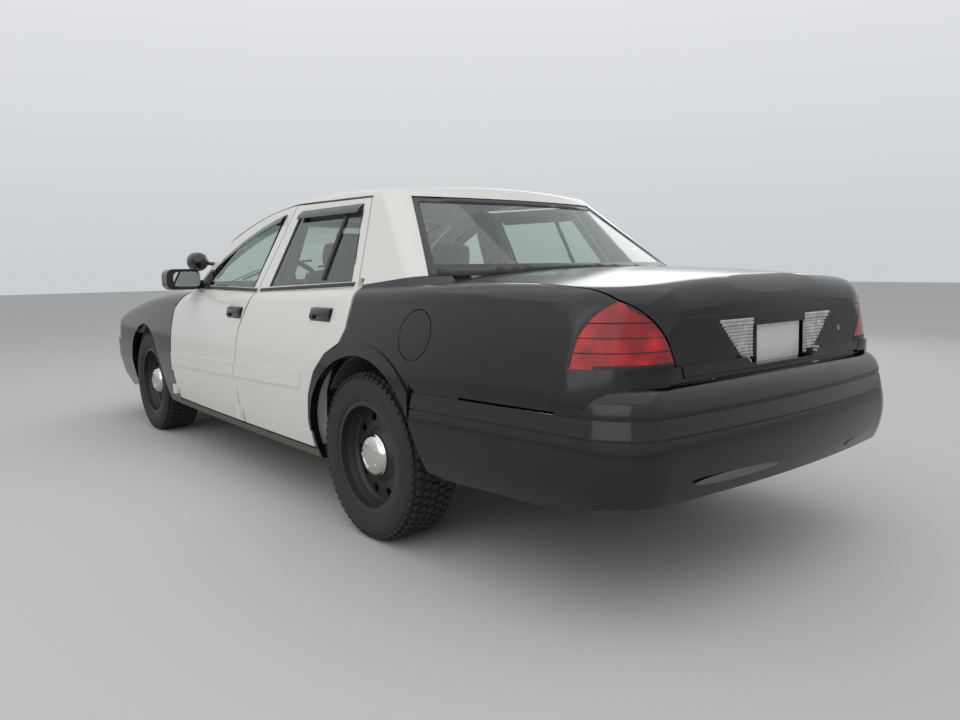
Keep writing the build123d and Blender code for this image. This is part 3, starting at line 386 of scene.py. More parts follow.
# %% [markdown]
# ## Lamp plastics and mirror silver
# A red tail lens is thick and ribbed inside, so it shows fields of brighter and darker red instead of a clear
# view. The colour is drawn from soft cells and a finer noise, and fine level flutes bend the reflections.
# The mirrors' silver is a metal with hardly any roughness, a little uneven in tone.


# %% Lamp plastics
CELL_SOFTNESS, FLUTE_SCALE, FLUTE_DEPTH = 0.35, 60, 0.0005


def lamp_plastic(name, dark, bright, cells, gloss, transmission):
    material, tree, shader = new_material(name)
    place = object_place(tree)
    fields = add_node(tree, "ShaderNodeTexVoronoi", feature="SMOOTH_F1")
    fields.inputs["Scale"].default_value = cells
    fields.inputs["Smoothness"].default_value = CELL_SOFTNESS
    link(tree, place, fields.inputs["Vector"])
    tone = math_node(tree, "MULTIPLY", fields.outputs["Distance"], 1.5)
    uneven = math_node(tree, "MULTIPLY", noise(tree, place, cells * 2.2), 0.3)
    tone = math_node(tree, "MINIMUM", math_node(tree, "ADD", tone, uneven), 1.0)
    link(tree, mix_colour(tree, tone, bright, dark), shader.inputs["Base Color"])
    shader.inputs["Roughness"].default_value = gloss
    shader.inputs["Transmission Weight"].default_value = transmission
    shader.inputs["Coat Weight"].default_value = 0.15
    shader.inputs["Coat Roughness"].default_value = 0.03
    flutes = add_node(tree, "ShaderNodeTexWave", bands_direction="Z")
    flutes.inputs["Scale"].default_value = FLUTE_SCALE
    link(tree, place, flutes.inputs["Vector"])
    bump(tree, shader, flutes.outputs["Fac"], FLUTE_DEPTH)
    return material


# name: darker fields, brighter fields, cells a metre, gloss, transmission
LAMP_ROWS = {
    "lamp_red": ((0.30, 0.004, 0.008), (0.85, 0.016, 0.030), 13, 0.22, 0.0),
    "lamp_rib": ((0.05, 0.001, 0.002), (0.22, 0.006, 0.010), 13, 0.2, 0.0),
    "lamp_clear": ((0.50, 0.52, 0.51), (0.80, 0.82, 0.80), 30, 0.12, 0.4),
    "lamp_milky": ((0.42, 0.43, 0.41), (0.70, 0.71, 0.69), 30, 0.2, 0.0),
}
finishes |= {name: lamp_plastic(name, *row) for name, row in LAMP_ROWS.items()}

# %% Mirror silver
silver, tree, shader = new_material("mirror_silver")
tarnish = noise(tree, object_place(tree), 40, 4, 0.7)
link(tree, mix_colour(tree, tarnish, (0.62, 0.66, 0.65), (0.80, 0.84, 0.83)), shader.inputs["Base Color"])
shader.inputs["Metallic"].default_value = 1.0
shader.inputs["Roughness"].default_value = 0.02
finishes["mirror_silver"] = silver

# %% [markdown]
# ## Rubber and cloth
# Tyre rubber is matt and grey with dust all the way up. The seat cover is woven: two waves crossed at right
# angles give its threads, which both colour it and raise it, and a slow noise keeps the tone uneven.

# %% Tyre rubber
rubber, tree, shader = new_material("tyre")
dusted(tree, shader, Base=(0.014, 0.0135, 0.013), Dust=(0.09, 0.08, 0.065), Amount=0.18, Reach=2.0,
       Gloss=0.62)
grained(tree, shader, 900, 0.0005)
finishes["tyre"] = rubber

# %% Seat cloth
THREADS = 220
cloth, tree, shader = new_material("seat_fabric")
place = object_place(tree)
waves = []
for direction in ("Y", "Z"):
    wave = add_node(tree, "ShaderNodeTexWave", bands_direction=direction)
    wave.inputs["Scale"].default_value = THREADS
    link(tree, place, wave.inputs["Vector"])
    waves.append(wave.outputs["Fac"])
threads = math_node(tree, "MULTIPLY", *waves)
tone = math_node(tree, "ADD", threads, noise(tree, place, 6))
link(tree, mix_colour(tree, math_node(tree, "MULTIPLY", tone, 0.5), (0.06, 0.06, 0.065), (0.17, 0.17, 0.18)),
     shader.inputs["Base Color"])
shader.inputs["Roughness"].default_value = 0.9
shader.inputs["Sheen Weight"].default_value = 0.3
bump(tree, shader, threads, 0.0006)
finishes["seat_fabric"] = cloth

# %% [markdown]
# ## Finishes on the solids
# The record of the car names a material slot for each solid, and each slot has a finish of the same name
# above, so one loop dresses the whole car.

# %% Every CAD node gets the finish of its material slot
for row in frame["record"]["subparts"]:
    node = nodes[row["node"]]
    node.data.materials.clear()
    node.data.materials.append(finishes[row["material_slot"]])
print("finishes set on", len(nodes), "nodes")

# %% [markdown]
# ## Helpers for new pieces
# Most trim on a car is a bar of one section bent along an edge, or a part turned on a lathe. So two helpers
# do most of the work: one pushes a section along a row of stations, one spins a profile. Each part is made
# in a bmesh of its own and then joined to its piece. Pieces that lie on the body find it by rays cast at
# the solid, so they sit on it.

# %% From a bmesh to a piece of the car
SIDES = (("left", 1), ("right", -1))


def finished(bm, name, body, finish, replaces=(), sharp=40):
    bmesh.ops.recalc_face_normals(bm, faces=bm.faces)
    mesh = bpy.data.meshes.new(name)
    bm.to_mesh(mesh)
    bm.free()
    mesh.shade_smooth()
    mesh.set_sharp_from_angle(angle=math.radians(sharp))
    mesh.materials.append(finishes[finish])
    piece = bpy.data.objects.new(name, mesh)
    bpy.context.scene.collection.objects.link(piece)
    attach(piece, body)
    if replaces:
        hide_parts(*replaces)
    print(f"{name}: {len(mesh.polygons)} faces, rides on {body}")
    return piece


def thickened(piece, thickness):
    solid = piece.modifiers.new("thickness", "SOLIDIFY")
    solid.thickness = thickness
    solid.offset = 1


# %% Places on the body
BESIDE, BEHIND, AHEAD, OVERHEAD = 2, -4, 4, 2


def surface(*names):
    bm = bmesh.new()
    for name in names:
        bm.from_mesh(nodes[name].data)
    tree = BVHTree.FromBMesh(bm)
    bm.free()
    return tree


def struck(tree, starts, direction, out=0.0):
    # where rays from the starts meet the solid, each with the direction away from it; misses are left out
    hits = [tree.ray_cast(Vector(start), Vector(direction)) for start in starts]
    return [(place + away * out, away) for place, away, _, _ in hits if place is not None]


def from_side(tree, points, side, out=0.0):
    # points are (x, z) pairs
    return struck(tree, [(x, BESIDE * side, z) for x, z in points], (0, -side, 0), out)


def from_behind(tree, points, out=0.0):
    # points are (y, z) pairs
    return struck(tree, [(BEHIND, y, z) for y, z in points], (1, 0, 0), out)


def shift(x, y, z):
    return Matrix.Translation((x, y, z))


def spun(degrees, axis):
    return Matrix.Rotation(math.radians(degrees), 4, axis)


def turned_to(place, first, second):
    # X goes along first and Y along second
    return Matrix.Translation(place) @ Matrix((first, second, first.cross(second))).transposed().to_4x4()


# %% Sweeping, turning and blocks
def corners_of(geometry):
    return [item for item in geometry if isinstance(item, bmesh.types.BMVert)]


def pulled(bm, faces, vec):
    grown = bmesh.ops.extrude_face_region(bm, geom=faces)["geom"]
    bmesh.ops.translate(bm, vec=vec, verts=corners_of(grown))


def rounded(bm, geometry, offset, segments=2, affect="EDGES"):
    bmesh.ops.bevel(bm, geom=list(geometry), offset=offset, offset_type="OFFSET", segments=segments,
                    profile=0.5, affect=affect, material=-1, clamp_overlap=True)


def joined(bm, part, place=Matrix()):
    # adds one finished part to a piece, turned and moved by place
    bmesh.ops.transform(part, matrix=place, verts=part.verts)
    carrier = bpy.data.meshes.new("carrier")
    part.to_mesh(carrier)
    part.free()
    bm.from_mesh(carrier)
    bpy.data.meshes.remove(carrier)


def stations(spots):
    # spots are pairs of a place and the direction away from the body
    made = []
    for index, (place, out) in enumerate(spots):
        ahead = spots[min(index + 1, len(spots) - 1)][0]
        behind = spots[max(index - 1, 0)][0]
        heading = (ahead - behind).normalized()
        made.append(turned_to(place, heading, out.cross(heading).normalized()))
    return made


def sweep(bm, spots, section):
    # the section is a ring of (across, out) pairs
    posts = stations(spots)
    part = bmesh.new()
    face = part.faces.new([part.verts.new(posts[0] @ Vector((0, across, out))) for across, out in section])
    for before, after in zip(posts, posts[1:]):
        grown = bmesh.ops.extrude_face_region(part, geom=[face])["geom"]
        bmesh.ops.transform(part, matrix=after @ before.inverted(), verts=corners_of(grown))
        face = next(item for item in grown if isinstance(item, bmesh.types.BMFace))
    joined(bm, part)


def strip(name, spots, section, body, finish):
    bm = bmesh.new()
    sweep(bm, spots, section)
    finished(bm, name, body, finish)


def bar(width, height, base=0.0):
    # the section of a bar with its two outer edges cut off
    half = width / 2
    lip = min(width, height) * 0.25
    return [(-half, base), (half, base), (half, base + height - lip), (half - lip, base + height),
            (-half + lip, base + height), (-half, base + height - lip)]


def turned(bm, profile, place=Matrix(), steps=48):
    # the profile is a row of (along, radius) pairs, spun round X
    part = bmesh.new()
    ring = [part.verts.new((along, 0, radius)) for along, radius in profile]
    edges = [part.edges.new(pair) for pair in zip(ring, ring[1:])]
    bmesh.ops.spin(part, geom=ring + edges, cent=(0, 0, 0), axis=(1, 0, 0), angle=math.tau, steps=steps,
                   use_merge=True)
    bmesh.ops.remove_doubles(part, verts=part.verts, dist=0.00002)
    joined(bm, part, place)


def block(bm, size, place, bevel=0.0, segments=2):
    part = bmesh.new()
    bmesh.ops.create_cube(part, size=1)
    bmesh.ops.scale(part, vec=size, verts=part.verts)
    if bevel:
        rounded(part, part.edges, bevel, segments)
    joined(bm, part, place)


# %% [markdown]
# ## Tyres
# The solid tyre is a plain ring. A real one has a rounded carcass, a raised band on its wall and rows of
# rubber blocks that stand against the road. The carcass is a profile spun round the axle, and one bevelled
# block, copied round the wheel in staggered rows, makes the tread.

# %% Tyres with tread
TYRE_RADIUS = 0.345
BLOCK_HEIGHT, BLOCK_EDGE = 0.013, 0.002
SHOULDER, SHOULDER_DROP = 0.08, 0.60
CARCASS = [(0.096, 0.226), (0.107, 0.233), (0.114, 0.250), (0.1165, 0.268), (0.1175, 0.283),
           (0.116, 0.2845), (0.116, 0.293), (0.1168, 0.295), (0.113, 0.311), (0.106, 0.322),
           (0.095, 0.330), (0.060, 0.3345)]
OUTLINE = CARCASS + [(-across, radius) for across, radius in reversed(CARCASS)] + CARCASS[:1]
# across the tyre, width, length round it, number in the row, turn of the row, tilt inward
TREAD_ROWS = [(0.0, 0.026, 0.026, 60, 0.0, 0.0), (0.036, 0.030, 0.024, 60, 0.35, 4.0),
              (0.071, 0.028, 0.025, 60, 0.75, 8.0), (0.0975, 0.020, 0.024, 60, 0.25, 34.0)]


def tread_row(bm, across, width, length, count, phase, tilt):
    radius = TYRE_RADIUS - BLOCK_HEIGHT / 2 - max(0.0, (abs(across) - SHOULDER) * SHOULDER_DROP)
    for index in range(count):
        turn = Matrix.Rotation(math.tau * (index + phase) / count, 4, "X")
        block(bm, (width, length, BLOCK_HEIGHT), turn @ shift(across, 0, radius) @ spun(-tilt, "Y"),
              bevel=BLOCK_EDGE, segments=1)


for end in ("front", "rear"):
    for side_name, side in SIDES:
        node = f"{end}_tyre_{side_name}"
        low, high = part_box(node)
        hub = (low + high) / 2
        bm = bmesh.new()
        turned(bm, OUTLINE, steps=96)
        for across, *blocks, tilt in TREAD_ROWS:
            tread_row(bm, across, *blocks, tilt)
            if across:
                tread_row(bm, -across, *blocks, -tilt)
        bmesh.ops.transform(bm, matrix=shift(*hub) @ spun(90, "Z"), verts=bm.verts)
        finished(bm, f"tread_{end}_{side_name}", f"{end}_wheel_{side_name}", "tyre", replaces=(node,),
                 sharp=30)

# %% [markdown]
# ## Hub caps
# A chromed steel cap is pressed over the nuts: a dome with a rolled rim, five flutes and a flat middle.
# It is turned on one profile, and the flutes are small bars laid on the dome. The tyre valve is turned too.

# %% Hub caps and valves
HUB_CAP = [(-0.004, 0.089), (0.004, 0.090), (0.008, 0.086), (0.012, 0.084), (0.020, 0.078), (0.027, 0.066),
           (0.031, 0.052), (0.0325, 0.045), (0.0295, 0.042), (0.0290, 0.020), (0.0310, 0.012), (0.0315, 0.0)]
VALVE = [(0.0, 0.0), (0.0, 0.006), (0.012, 0.005), (0.026, 0.0035), (0.027, 0.0045), (0.034, 0.0045),
         (0.036, 0.003), (0.036, 0.0)]
CAP_SEAT, VALVE_SEAT = 0.086, 0.196
FLUTE, FLUTE_COUNT, FLUTE_LEAN, FIRST_FLUTE = (0.008, 0.016, 0.034), 5, -33, 0.3
for end in ("front", "rear"):
    for side_name, side in SIDES:
        wheel = f"{end}_wheel_{side_name}"
        low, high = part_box(wheel)
        hub = (low + high) / 2
        seats = [(hub.x + CAP_SEAT, hub.z), (hub.x, hub.z + VALVE_SEAT)]
        (face, _), (foot, _) = from_side(surface(wheel), seats, side)
        outward = spun(90 * side, "Z")
        on_rim = shift(hub.x, face.y, hub.z) @ outward
        bm = bmesh.new()
        turned(bm, HUB_CAP, on_rim, steps=64)
        for index in range(FLUTE_COUNT):
            turn = Matrix.Rotation(math.tau * index / FLUTE_COUNT + FIRST_FLUTE, 4, "X")
            block(bm, FLUTE, on_rim @ turn @ shift(0.0235, 0, 0.062) @ spun(FLUTE_LEAN, "Y"), bevel=0.0038,
                  segments=3)
        finished(bm, f"hub_cap_{end}_{side_name}", wheel, "bright_metal")
        bm = bmesh.new()
        turned(bm, VALVE, shift(hub.x, foot.y, hub.z + VALVE_SEAT) @ outward, steps=16)
        finished(bm, f"valve_{end}_{side_name}", wheel, "black_rubber")

# %% [markdown]
# ## Side windows
# Each door window has a black rubber seal round the glass, a bar that divides the rear door's glass, a belt
# moulding with a bright line under it, and a smoked visor along the top that keeps the rain out. All of them
# are one section each, swept along the outline of the window on the surface of the glass or the door.


# %% Lines of the windows
def arc_points(start, heading, end, count):
    # a circle arc that leaves start along heading and reaches end
    start, end, heading = Vector(start), Vector(end), Vector(heading).normalized()
    chord = end - start
    normal = Vector((-heading.y, heading.x))
    centre = start + normal * chord.length_squared / (2 * normal.dot(chord))
    turn = -2 * heading.angle_signed(chord)
    return [centre + Matrix.Rotation(turn * step / count, 2) @ (start - centre) for step in range(count + 1)]


def along(points, step=0.02):
    made = []
    for first, second in zip(points, points[1:]):
        first, second = Vector(first), Vector(second)
        count = max(1, round((second - first).length / step))
        made += [first.lerp(second, index / count) for index in range(count)]
    return made + [Vector(points[-1])]


FRONT_TOP = arc_points((0.440, 1.165), (-1.2, 0.72), (-0.165, 1.392), 16)
WINDOWS = {
    "front": [(0.20, 1.0178), (0.555, 1.022), *FRONT_TOP, (-0.150, 1.014), (0.20, 1.0178)],
    "rear": [(-0.60, 1.0326), (-0.325, 1.022), (-0.325, 1.398), (-0.930, 1.396), (-1.100, 1.052),
             (-0.60, 1.0326)],
}
VISORS = {
    "front": [(0.495, 1.088)] + [(p.x - 0.004, p.y - 0.004) for p in FRONT_TOP],
    "rear": [(-0.330, 1.394), (-0.925, 1.392)],
}
BELTS = {"front": [(0.600, 1.010), (-0.195, 1.003)], "rear": [(-0.245, 1.004), (-1.130, 1.041)]}
DIVIDER = [(-0.803, 1.392), (-0.837, 1.040)]

# %% Seals, visors, belt mouldings and divider bars
SEAL = [(-0.010, 0.0), (0.002, 0.0), (0.002, 0.0065), (0.0, 0.0075), (-0.007, 0.0065), (-0.010, 0.003)]
VISOR = [(0.003, -0.002), (0.004, 0.006), (-0.026, 0.019), (-0.046, 0.020), (-0.046, 0.017),
         (-0.026, 0.015), (-0.003, 0.001)]
BELT_STEP, LINE_DROP = 0.04, 0.0105


def traced(tree, points, side, out=0.0, step=0.02):
    spots = from_side(tree, along(points, step), side, out)
    return spots if side == 1 else spots[::-1]


for side_name, side in SIDES:
    for end in ("front", "rear"):
        door, window = f"{end}_door_{side_name}", f"{end}_glass_{side_name}"
        pane, skin = surface(window), surface(door, window)
        strip(f"{end}_window_seal_{side_name}", traced(pane, WINDOWS[end], side), SEAL, door, "black_rubber")
        strip(f"{end}_visor_{side_name}", traced(skin, VISORS[end], side, 0.001), VISOR, door,
              "smoked_plastic")
        strip(f"{end}_belt_moulding_{side_name}", traced(skin, BELTS[end], side, step=BELT_STEP),
              bar(0.018, 0.009, -0.003), door, "black_rubber")
        lower = [(x, z - LINE_DROP) for x, z in BELTS[end]]
        strip(f"{end}_belt_line_{side_name}", traced(skin, lower, side, step=BELT_STEP),
              bar(0.004, 0.008, -0.003), door, "bright_metal")
    strip(f"rear_divider_{side_name}", traced(pane, DIVIDER, side), bar(0.025, 0.009), door, "black_rubber")

# %% [markdown]
# ## Door handles
# Each door has a black pull set in a shallow cup. The cup is a flat bevelled plate, the pull a thicker bar
# that stands off it, with the key cylinder at its rear end.

# %% Door handles
HANDLES = {"front": (-0.050, 0.887), "rear": (-0.980, 0.912)}
KEY_CYLINDER = [(0.0, 0.0), (0.0, 0.009), (0.012, 0.009), (0.013, 0.008), (0.013, 0.0)]
for side_name, side in SIDES:
    for end, (x, z) in HANDLES.items():
        door = f"{end}_door_{side_name}"
        (place, out), (ahead, _) = from_side(surface(door), [(x, z), (x + 0.05, z)], side)
        turn = turned_to(place, (ahead - place).normalized(), out)
        bm = bmesh.new()
        block(bm, (0.178, 0.006, 0.062), turn, bevel=0.0028)
        block(bm, (0.160, 0.018, 0.034), turn @ shift(-0.006, 0.012, 0.008 * side), bevel=0.008, segments=3)
        block(bm, (0.030, 0.016, 0.050), turn @ shift(0.072, 0.006, 0), bevel=0.007, segments=3)
        turned(bm, KEY_CYLINDER, turn @ shift(-0.076, 0.002, -0.008 * side) @ spun(90, "Z"), steps=24)
        finished(bm, f"{end}_handle_{side_name}", door, "mirror_plastic")

# %% [markdown]
# ## Mirrors
# The door mirrors have a flat silvered glass set in the back of a black housing, and a black sail closes the
# front corner of the window. The glass is a circle drawn out to a rounded oblong and given its thickness;
# the sail is one face on the door's surface, pulled outwards and bevelled.

# %% Mirror glass and sails
MIRROR_HALF_WIDTH, MIRROR_HALF_HEIGHT, MIRROR_THICKNESS = 0.076, 0.044, 0.003
MIRROR_SQUARENESS, MIRROR_OUTBOARD, MIRROR_PROUD = 4, 0.012, 0.0015
SAIL = ((0.640, 1.002), (0.465, 1.003), (0.468, 1.075), (0.505, 1.110), (0.560, 1.060))
for side_name, side in SIDES:
    housing, door = f"mirror_{side_name}", f"front_door_{side_name}"
    low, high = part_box(housing)
    middle_y, middle_z = (low.y + high.y) / 2 + MIRROR_OUTBOARD * side, (low.z + high.z) / 2
    face, _ = from_behind(surface(housing), [(middle_y, middle_z)])[0]
    bm = bmesh.new()
    rim = bmesh.ops.create_circle(bm, cap_ends=True, cap_tris=False, segments=40, radius=1)["verts"]
    for v in rim:
        y, z, _ = v.co.normalized()
        corner = (abs(y) ** MIRROR_SQUARENESS + abs(z) ** MIRROR_SQUARENESS) ** (-1 / MIRROR_SQUARENESS)
        v.co = Vector((0, y * corner * MIRROR_HALF_WIDTH, z * corner * MIRROR_HALF_HEIGHT))
    bmesh.ops.translate(bm, vec=(face.x - MIRROR_PROUD, middle_y, middle_z), verts=rim)
    pulled(bm, list(bm.faces), (MIRROR_THICKNESS, 0, 0))
    finished(bm, f"mirror_glass_{side_name}", door, "mirror_silver", sharp=20)
    spots = from_side(surface(door, f"front_glass_{side_name}"), SAIL, side, -0.004)
    bm = bmesh.new()
    face = bm.faces.new([bm.verts.new(place) for place, _ in spots])
    pulled(bm, [face], (0, 0.016 * side, 0.004))
    rounded(bm, bm.edges, 0.003)
    finished(bm, f"mirror_sail_{side_name}", door, "black_rubber")

# %% [markdown]
# ## Spotlight
# The spotlight on the left pillar shows its round back to the rear and its lens to the front. The housing,
# its handle through the pillar and the lens are each turned on one profile, and stand for the plain solid.

# %% Spotlight
SPOTLIGHT = shift(0.672, 0.862, 1.160)
SPOTLIGHT_STEM = Vector((-0.060, -0.102, -0.022))
HOUSING = [(-0.064, 0.0), (-0.062, 0.012), (-0.055, 0.026), (-0.042, 0.040), (-0.022, 0.051), (0.0, 0.0555),
           (0.018, 0.0565), (0.020, 0.057), (0.046, 0.057), (0.048, 0.0555), (0.048, 0.051), (0.044, 0.050),
           (0.041, 0.030), (0.040, 0.0)]
STEM = [(0.0, 0.0), (0.0, 0.012), (0.018, 0.011), (0.110, 0.011), (0.118, 0.018), (0.128, 0.019),
        (0.128, 0.0)]
LENS = [(0.041, 0.0), (0.041, 0.049), (0.047, 0.049), (0.051, 0.040), (0.053, 0.022), (0.0535, 0.0)]
bm = bmesh.new()
turned(bm, HOUSING, SPOTLIGHT)
turned(bm, STEM, SPOTLIGHT @ SPOTLIGHT_STEM.to_track_quat("X", "Z").to_matrix().to_4x4(), steps=24)
finished(bm, "spotlight_housing", "body", "mirror_plastic", replaces=("spotlight",))
bm = bmesh.new()
turned(bm, LENS, SPOTLIGHT)
finished(bm, "spotlight_lens", "body", "lamp_clear")

# %% [markdown]
# ## Rear window and windshield borders
# Bonded glass has a black printed band round its edge that hides the glue. The band here is a copy of the
# outer skin of the glass, cut by planes parallel to its edges, with the middle taken out.


# %% Working on a copy of a surface
def skin_copy(bm, node, outward, least=0.2):
    bm.from_mesh(nodes[node].data)
    bmesh.ops.remove_doubles(bm, verts=bm.verts, dist=0.00001)
    bm.normal_update()
    away = Vector(outward)
    wrong = [face for face in bm.faces if face.normal.dot(away) < least]
    bmesh.ops.delete(bm, geom=wrong, context="FACES")


def cut(bm, point, normal, clear=False):
    bmesh.ops.bisect_plane(bm, geom=[*bm.verts, *bm.edges, *bm.faces], dist=0.000001, plane_co=point,
                           plane_no=normal, clear_outer=clear)


def banded(bm, planes):
    # planes are (point, normal): what lies behind all of them is the clear middle
    for point, normal in planes:
        cut(bm, point, normal)
    clear = [face for face in bm.faces
             if all((face.calc_center_median() - Vector(point)).dot(Vector(normal)) < 0
                    for point, normal in planes)]
    bmesh.ops.delete(bm, geom=clear, context="FACES")


def lifted(bm, height):
    bmesh.ops.remove_doubles(bm, verts=bm.verts, dist=0.00001)
    bm.normal_update()
    for v in bm.verts:
        v.co += v.normal * height


# %% Printed bands on the glass
BAND_TOP, BAND_FLANK = 0.030, 0.034
# node: outward, half width and height of the lower edge, then of the upper edge, width of the lower band
GLASS_BANDS = {
    "rear_window": ((-0.5, 0, 0.87), 0.772, 1.074, 0.562, 1.422, 0.045),
    "windshield": ((0.5, 0, 0.87), 0.830, 0.982, 0.590, 1.396, 0.055),
}
for node, (outward, half_low, low_z, half_high, high_z, band_foot) in GLASS_BANDS.items():
    slope = (half_low - half_high) / (high_z - low_z)
    bm = bmesh.new()
    skin_copy(bm, node, outward)
    banded(bm, [((0, 0, high_z - BAND_TOP), (0, 0, 1)), ((0, 0, low_z + band_foot), (0, 0, -1)),
                ((0, half_low - BAND_FLANK, low_z), (0, 1, slope)),
                ((0, BAND_FLANK - half_low, low_z), (0, -1, slope))])
    lifted(bm, 0.0006)
    thickened(finished(bm, f"{node}_border", "body", "window_border"), 0.0008)

# %% [markdown]
# ## Tail lamps
# Each tail lamp is one red lens with moulded ribs. Three of them run level across the whole lens, the
# reflector behind shows as brighter and darker fields, and a dark rubber edge joins it to the body.
# The ribs are thin level slices of the lens surface, raised a little. The edge is a bar in three runs.

# %% Ribs of the tail lamps
LAMP_RIBS, RIB_HALF = (0.850, 0.893, 0.938), 0.0018
bm = bmesh.new()
for rib_z in LAMP_RIBS:
    part = bmesh.new()
    skin_copy(part, "tail_lamps", (-1, 0, 0.1), -0.25)
    cut(part, (0, 0, rib_z + RIB_HALF), (0, 0, 1), clear=True)
    cut(part, (0, 0, rib_z - RIB_HALF), (0, 0, -1), clear=True)
    lifted(part, 0.0004)
    joined(bm, part)
thickened(finished(bm, "tail_lamp_ribs", "body", "lamp_rib"), 0.0012)

# %% Rubber edges of the tail lamps
OUTER_EDGE = [(-2.398, 0.806), (-2.407, 0.900), (-2.430, 0.955), (-2.470, 0.998), (-2.520, 1.026)]
INNER_EDGE = [(0.560, 0.806), (0.592, 0.850), (0.634, 0.905), (0.680, 0.952), (0.728, 0.990)]
FOOT_EDGE = [(0.572 + 0.01 * index, 0.808) for index in range(27)]
EDGE_STEP = 0.012
lens = surface("tail_lamps")
for side_name, side in SIDES:
    inner = [(y * side, z) for y, z in along(INNER_EDGE, EDGE_STEP)]
    foot = [(y * side, z) for y, z in FOOT_EDGE]
    bm = bmesh.new()
    sweep(bm, from_side(lens, along(OUTER_EDGE, EDGE_STEP), side), bar(0.012, 0.002))
    for points, width in ((inner, 0.007), (foot, 0.009)):
        sweep(bm, from_behind(lens, points), bar(width, 0.002))
    finished(bm, f"tail_lamp_edge_{side_name}", "body", "black_rubber")

# %% [markdown]
# ## The plate
# The plate is a pressed sheet that hangs a little askew on two bolts, on a bracket in the recess of the lid.
# Its plain white face is a grid with rounded corners, inset twice for the pressed rim.

# %% Plate, bolts and bracket
PLATE_Z, PLATE_WIDTH, PLATE_HEIGHT, PLATE_STANDOFF, PLATE_LEAN = 0.842, 0.280, 0.150, 0.032, -2.2
BOLT_SPACING = 0.178
BOLT = [(0.010, 0.0), (0.010, 0.0035), (-0.0005, 0.0035), (-0.0005, 0.0075), (-0.003, 0.0075),
        (-0.005, 0.005), (-0.005, 0.0)]
FLAT_TO_REAR = Matrix(((0, 0, -1, 0), (-1, 0, 0, 0), (0, 1, 0, 0), (0, 0, 0, 1)))
lid = surface("trunk_lid", "reverse_lamps")
pocket, _ = from_behind(lid, [(0.0, PLATE_Z)])[0]
askew = shift(pocket.x - PLATE_STANDOFF, -0.020, PLATE_Z) @ spun(PLATE_LEAN, "X")
bm = bmesh.new()
made = bmesh.ops.create_grid(bm, x_segments=1, y_segments=1, size=0.5)["verts"]
bmesh.ops.scale(bm, vec=(PLATE_WIDTH, PLATE_HEIGHT, 1), verts=made)
rounded(bm, bm.verts, 0.012, 4, "VERTICES")
rim = bmesh.ops.inset_region(bm, faces=list(bm.faces), thickness=0.005, depth=0)["faces"]
bmesh.ops.inset_region(bm, faces=[f for f in bm.faces if f not in rim], thickness=0.004, depth=0.0014)
bmesh.ops.solidify(bm, geom=list(bm.faces), thickness=0.0012)
bmesh.ops.transform(bm, matrix=askew @ FLAT_TO_REAR, verts=bm.verts)
finished(bm, "blank_plate", "trunk_lid", "plate_white", sharp=25)
bm = bmesh.new()
for y in (-BOLT_SPACING / 2, BOLT_SPACING / 2):
    turned(bm, BOLT, askew @ shift(0, y, 0.058), steps=24)
finished(bm, "plate_bolts", "trunk_lid", "bright_metal")
bm = bmesh.new()
block(bm, (PLATE_STANDOFF, 0.24, 0.030), shift(pocket.x - PLATE_STANDOFF / 2 + 0.001, 0, PLATE_Z + 0.052),
      bevel=0.004)
block(bm, (0.004, 0.26, 0.110), shift(pocket.x - PLATE_STANDOFF + 0.004, 0, PLATE_Z + 0.005), bevel=0.0015)
finished(bm, "plate_bracket", "trunk_lid", "trim_plastic")

# %% [markdown]
# ## Reversing lamps, lock and crease
# The clear reversing lamps stand beside the plate, wide at the top and narrow at the foot, and are ribbed
# across. Each rib is one rounded section swept along the lid, and the stack of ribs stands for the plain
# solid. The lid's lock is a turned cap, and its lower face starts at a crease, drawn here as a thin raised
# black bead that is painted shade along the groove of the crease.

# %% Lock of the lid
LOCK = [(0.006, 0.0), (0.006, 0.011), (-0.002, 0.011), (-0.0035, 0.0095), (-0.0035, 0.006),
        (-0.002, 0.005), (-0.002, 0.0)]
bm = bmesh.new()
keyhole, _ = from_behind(lid, [(-0.440, 0.857)])[0]
turned(bm, LOCK, shift(*keyhole), steps=32)
finished(bm, "lid_lock", "trunk_lid", "bright_edge")

# %% Ribbed reversing lamps
LAMP_TOP, LAMP_FOOT = (0.926, 0.362), (0.788, 0.222)
LAMP_INNER, LAMP_HIDDEN, RIB_PITCH, RIB_STEPS = 0.200, 0.172, 0.0112, 8
RIB = [(-0.0056, -0.003), (0.0056, -0.003), (0.0056, 0.0015), (0.003, 0.0045), (0.0, 0.0055),
       (-0.003, 0.0045), (-0.0056, 0.0015)]
for side_name, side in SIDES:
    bm = bmesh.new()
    rib_z = LAMP_FOOT[0]
    while rib_z < LAMP_TOP[0]:
        share = (rib_z - LAMP_FOOT[0]) / (LAMP_TOP[0] - LAMP_FOOT[0])
        reach = LAMP_FOOT[1] + share * (LAMP_TOP[1] - LAMP_FOOT[1])
        ys = [LAMP_INNER + (reach - LAMP_INNER) * step / RIB_STEPS for step in range(RIB_STEPS + 1)]
        spots = from_behind(lid, [(y * side, rib_z) for y in ys])
        place, out = spots[0]
        sweep(bm, [(Vector((place.x, LAMP_HIDDEN * side, place.z)), out)] + spots, RIB)
        rib_z += RIB_PITCH
    finished(bm, f"reverse_lamp_{side_name}", "trunk_lid", "lamp_milky",
             replaces=("reverse_lamps",))

# %% Crease of the lid, drawn as a black line of painted shade
CREASE_Z, CREASE_HALF, CREASE_STEP = 0.945, 0.640, 0.032
crease = [(CREASE_STEP * step - CREASE_HALF, CREASE_Z) for step in range(41)]
# the thin black bead is painted shade along the groove of the crease
strip("lid_crease_shade_line", from_behind(lid, crease), bar(0.0035, 0.0012, -0.0004), "trunk_lid", "black_rubber")
